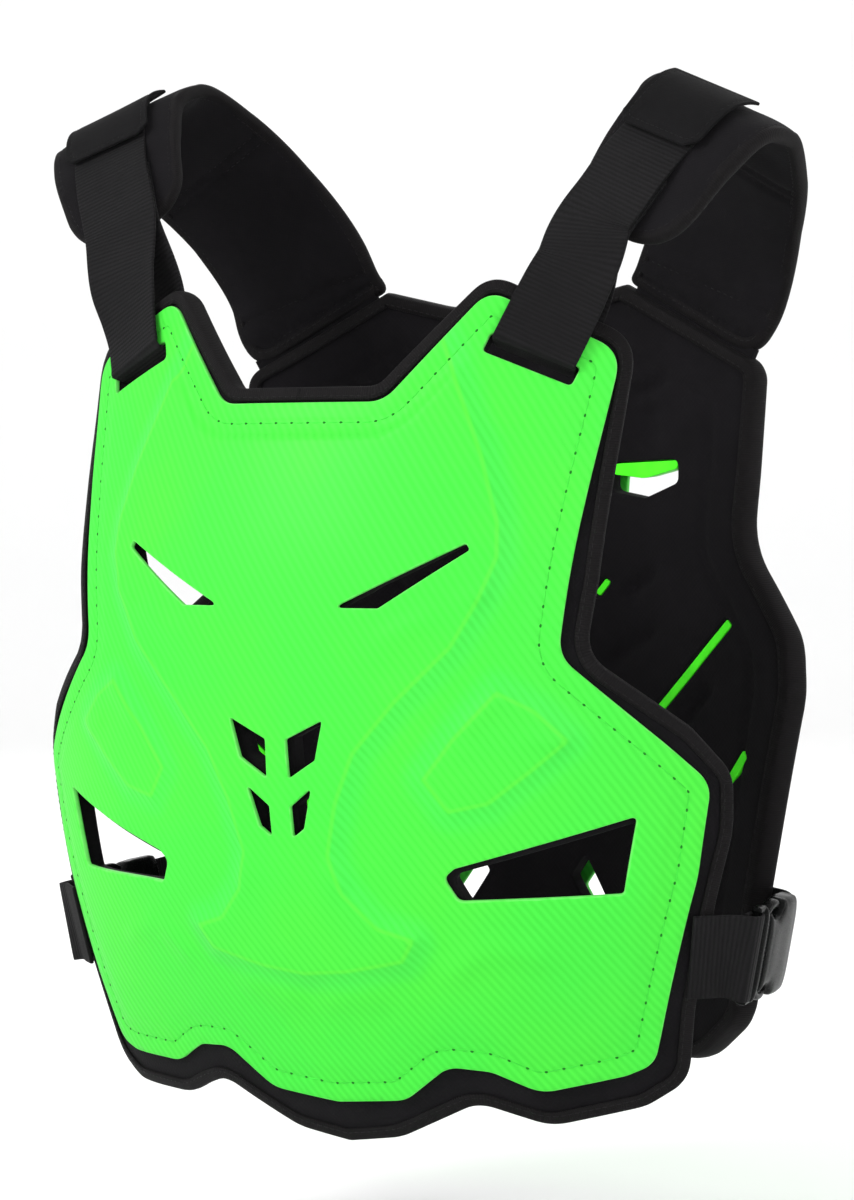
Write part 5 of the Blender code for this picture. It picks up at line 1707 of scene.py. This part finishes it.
class Finish(Tree):
    """A material in the making."""

    def __init__(self, name, rough, specular=0.5, sheen=0.0, sheen_rough=0.5, coat=0.0, coat_rough=0.1):
        self.material = bpy.data.materials.new(name)
        self.material.use_nodes = True
        super().__init__(self.material.node_tree)
        self.shader = self.tree.nodes["Principled BSDF"].inputs
        values = (rough, specular, sheen, sheen_rough, coat, coat_rough)
        for socket, value in zip(SHADER_SOCKETS, values):
            self.shader[socket].default_value = value
        self.places = {
            "Pattern": self.node("UVMap", uv_map="pattern")[0],
            "Place": self.node("TexCoord")["Object"],
        }

    def use(self, group, **inputs):
        """A shared group's result, from these inputs and the coordinates that it reads."""
        made = self.tree.nodes.new("ShaderNodeGroup")
        made.node_tree = group
        for name, value in (self.places | inputs).items():
            if name in made.inputs:
                self.feed(made.inputs[name], value)
        return made.outputs[0]

    def mix(self, mask, first, second):
        """One colour turning into another as the mask goes from zero to one."""
        return self.node("Mix", {0: mask, 6: first, 7: second}, data_type="RGBA", blend_type="MIX")[2]

    def finished(self, base, heights, roughness=None):
        """Link the colour, the roughness and the heights, and give the material."""
        self.feed(self.shader["Base Color"], base)
        if roughness is not None:
            self.feed(self.shader["Roughness"], roughness)
        inputs = {"Strength": 1.0}
        for height, distance in heights:
            inputs |= {"Height": height, "Distance": distance}
            inputs["Normal"] = self.node("Bump", inputs)["Normal"]
        self.feed(self.shader["Normal"], inputs["Normal"])
        return self.material


def shaded(colour, share=1.0):
    """A colour made lighter or darker, with its opacity."""
    return tuple(share * v for v in colour) + (1.0,)


# %% The green plate
GREEN = (0.054, 0.590, 0.050)
GREEN_PATCH = (0.068, 0.605, 0.044)
# painted shade: the bluer colour of the slope just outside each crest
SLOPE_SHADE_GREEN = (0.050, 0.580, 0.096)
GREEN_TWILL = (0.026, 0.440, 0.024)
# painted highlight: the paler, yellower colour of a thin line along each crest
CREST_HIGHLIGHT_GREEN = (0.135, 0.640, 0.044)
GREEN_WORN = (0.20, 0.66, 0.17)
TWILL_SLANT = 0.62
TWILL_SHARE = 0.38


def make_plate_material():
    """Green plastic with the twill that the mould leaves in it. A thin line along each crest
    is painted paler and yellower as a painted highlight, and the slope outside the crest is
    painted a little bluer as painted shade."""
    made = Finish("moulded_green", 0.4, specular=0.07, coat=0.02, coat_rough=0.2)
    maths = made.maths
    twill = made.use(RIBS, Pitch=3.5 * MM, Slant=TWILL_SLANT, Sharpness=1.0)
    grain = made.use(GRAIN, Size=1.1 * MM)
    patches = made.use(DUST, Size=0.09, Amount=0.8)
    edge, inset = (made.node("Attribute", attribute_name=name)["Fac"] for name in ("edge", "crest"))
    wear = made.use(WEAR, Edge=edge, Reach=1.6 * MM, Amount=0.45)
    # Painted highlight: a thin paler, yellower line along each crest.
    line = made.span(maths("ABSOLUTE", inset), 1.6 * MM, 0.2 * MM, 0.25, "SMOOTHSTEP")
    # Painted shade: the slope just outside each crest is tinted bluer.
    slope = made.span(maths("ADD", inset, 7 * MM), -7 * MM, 2 * MM, 1.0, "SMOOTHSTEP")
    outside = made.span(inset, 0.0, -2 * MM, 0.30, "SMOOTHSTEP")
    base = made.mix(patches, shaded(GREEN), shaded(GREEN_PATCH))
    base = made.mix(maths("MULTIPLY", slope, outside), base, shaded(SLOPE_SHADE_GREEN))
    base = made.mix(maths("MULTIPLY", twill, TWILL_SHARE), base, shaded(GREEN_TWILL))
    base = made.mix(line, base, shaded(CREST_HIGHLIGHT_GREEN))
    base = made.mix(wear, base, shaded(GREEN_WORN))
    rough = maths("MULTIPLY_ADD", grain, 0.10, 0.38)
    return made.finished(base, ((grain, 0.02 * MM), (twill, 0.08 * MM)), rough)


# %% Cloth, webbing and hard parts
def make_cloth_material(name, colour, pitch, depth):
    """Fine black cloth on foam: weave, soft mottling and pale lint in patches."""
    made = Finish(name, 0.9, specular=0.07, sheen=0.016, sheen_rough=0.6)
    weave = made.use(WEAVE, Pitch=pitch)
    grain = made.use(GRAIN, Size=2.4 * MM)
    lint = made.use(DUST, Size=0.035, Amount=0.6)
    base = made.mix(lint, shaded(colour), shaded(colour, 1.6))
    base = made.mix(made.maths("MULTIPLY", weave, 0.45), base, shaded(colour, 0.25))
    return made.finished(base, ((grain, 0.16 * MM), (weave, depth)))


def make_ribbed_material(name, colour, pitch, slant, depth):
    """Woven tape or webbing: strong ribs across it and a finer weave along it."""
    made = Finish(name, 0.75, specular=0.09, sheen=0.011)
    ribs = made.use(RIBS, Pitch=pitch, Slant=slant, Sharpness=0.7)
    weave = made.use(WEAVE, Pitch=pitch * 0.6)
    lint = made.use(DUST, Size=0.03, Amount=0.7)
    base = made.mix(lint, shaded(colour), shaded(colour, 1.4))
    base = made.mix(made.maths("SUBTRACT", 1.0, ribs), base, shaded(colour, 0.55))
    return made.finished(base, ((weave, depth * 0.5), (ribs, depth)))


def make_hard_material(name, colour, roughness, grain_size, grain_depth, specular=0.2):
    """Moulded plastic or waxed thread: one colour with fine grain, paler where rubbed."""
    made = Finish(name, roughness, specular=specular)
    grain = made.use(GRAIN, Size=grain_size)
    rubbed = made.use(DUST, Size=0.012, Amount=0.6)
    rough = made.maths("MULTIPLY_ADD", grain, 0.14, roughness - 0.08)
    base = made.mix(rubbed, shaded(colour), shaded(colour, 1.5))
    return made.finished(base, ((grain, grain_depth),), rough)


green_plastic = make_plate_material()
liner_cloth = make_cloth_material("liner_cloth", (0.0052, 0.0046, 0.0056), 1.3 * MM, 0.10 * MM)
pad_cloth = make_cloth_material("pad_cloth", (0.0050, 0.0045, 0.0054), 1.0 * MM, 0.10 * MM)
tab_cloth = make_cloth_material("tab_cloth", (0.0040, 0.0038, 0.0042), 0.8 * MM, 0.08 * MM)
edge_tape = make_ribbed_material("edge_tape", (0.0054, 0.0047, 0.0051), 1.1 * MM, 0.0, 0.10 * MM)
webbing = make_ribbed_material(
    "ribbed_webbing", (0.0064, 0.0061, 0.0066), 2.1 * MM, math.pi / 2, 0.20 * MM)
buckle_plastic = make_hard_material(
    "buckle_plastic", (0.0030, 0.0033, 0.0032), 0.24, 0.9 * MM, 0.02 * MM, specular=0.05)
black_thread = make_hard_material(
    "black_thread", (0.009, 0.0085, 0.009), 0.60, 0.5 * MM, 0.03 * MM, specular=0.1)
# The ribs' green is much brighter than the plate's: painted light, a glow standing for light that comes
# through the translucent plastic into the shaded slots.
rib_green = make_hard_material("rib_green", (0.075, 0.95, 0.020), 0.45, 1.1 * MM, 0.02 * MM, specular=0.1)
green_thread = make_hard_material("green_thread", (0.036, 0.48, 0.034), 0.5, 0.5 * MM, 0.03 * MM)
# The needle dots' dark green is painted shade for the needle holes.
needle_shade = make_hard_material("needle_shade", (0.004, 0.13, 0.006), 0.7, 0.5 * MM, 0.02 * MM)
print("materials:", len(bpy.data.materials))

# %% [markdown]
# ## Fasten everything
# Each fine piece stands for its plain solid and rides on the vest's one body.

# %% Panels
keep_piece(front_plate, "green_plate", green_plastic, "front_plate")
keep_piece(back_plate, "green_plate", green_plastic, "back_plate")
keep_piece(front_liner, "foam_cloth", liner_cloth, "front_liner")
keep_piece(back_liner, "foam_cloth", liner_cloth, "back_liner")
keep_piece(front_tape, "binding_tape", edge_tape, "front_binding")
keep_piece(back_tape, "binding_tape", edge_tape, "back_binding")
for rib in ribs:
    keep_piece(rib, "green_plate", rib_green)
for thread, dimples in plate_threads:
    keep_piece(thread, "green_plate", green_thread)
    keep_piece(dimples, "green_plate", needle_shade)
for thread in threads:
    keep_piece(thread, "binding_tape", black_thread)

# %% Shoulders, waist and buckles
for side in MIRROR:
    keep_piece(pads[side], "pad_cloth", pad_cloth, "shoulder_pad_" + side)
    keep_piece(pad_tapes[side], "binding_tape", edge_tape)
    keep_piece(hinges[side], "pad_cloth", pad_cloth)
    keep_piece(shoulder_straps[side], "webbing", webbing, "shoulder_strap_" + side)
    keep_piece(tabs[side][0], "tab_patch", tab_cloth, "strap_tab_" + side)
    for strap, where in zip(waist_straps[side], ("front_", "back_")):
        keep_piece(strap, "webbing", webbing, "waist_strap_" + where + side)
    socket, (plug, *plug_parts) = buckles[side]
    keep_piece(socket, "buckle_plastic", buckle_plastic, "buckle_socket_" + side)
    keep_piece(plug, "buckle_plastic", buckle_plastic, "buckle_plug_" + side)
    for part in plug_parts:
        keep_piece(part, "buckle_plastic", buckle_plastic)

# %% The end
bpy.context.view_layer.update()
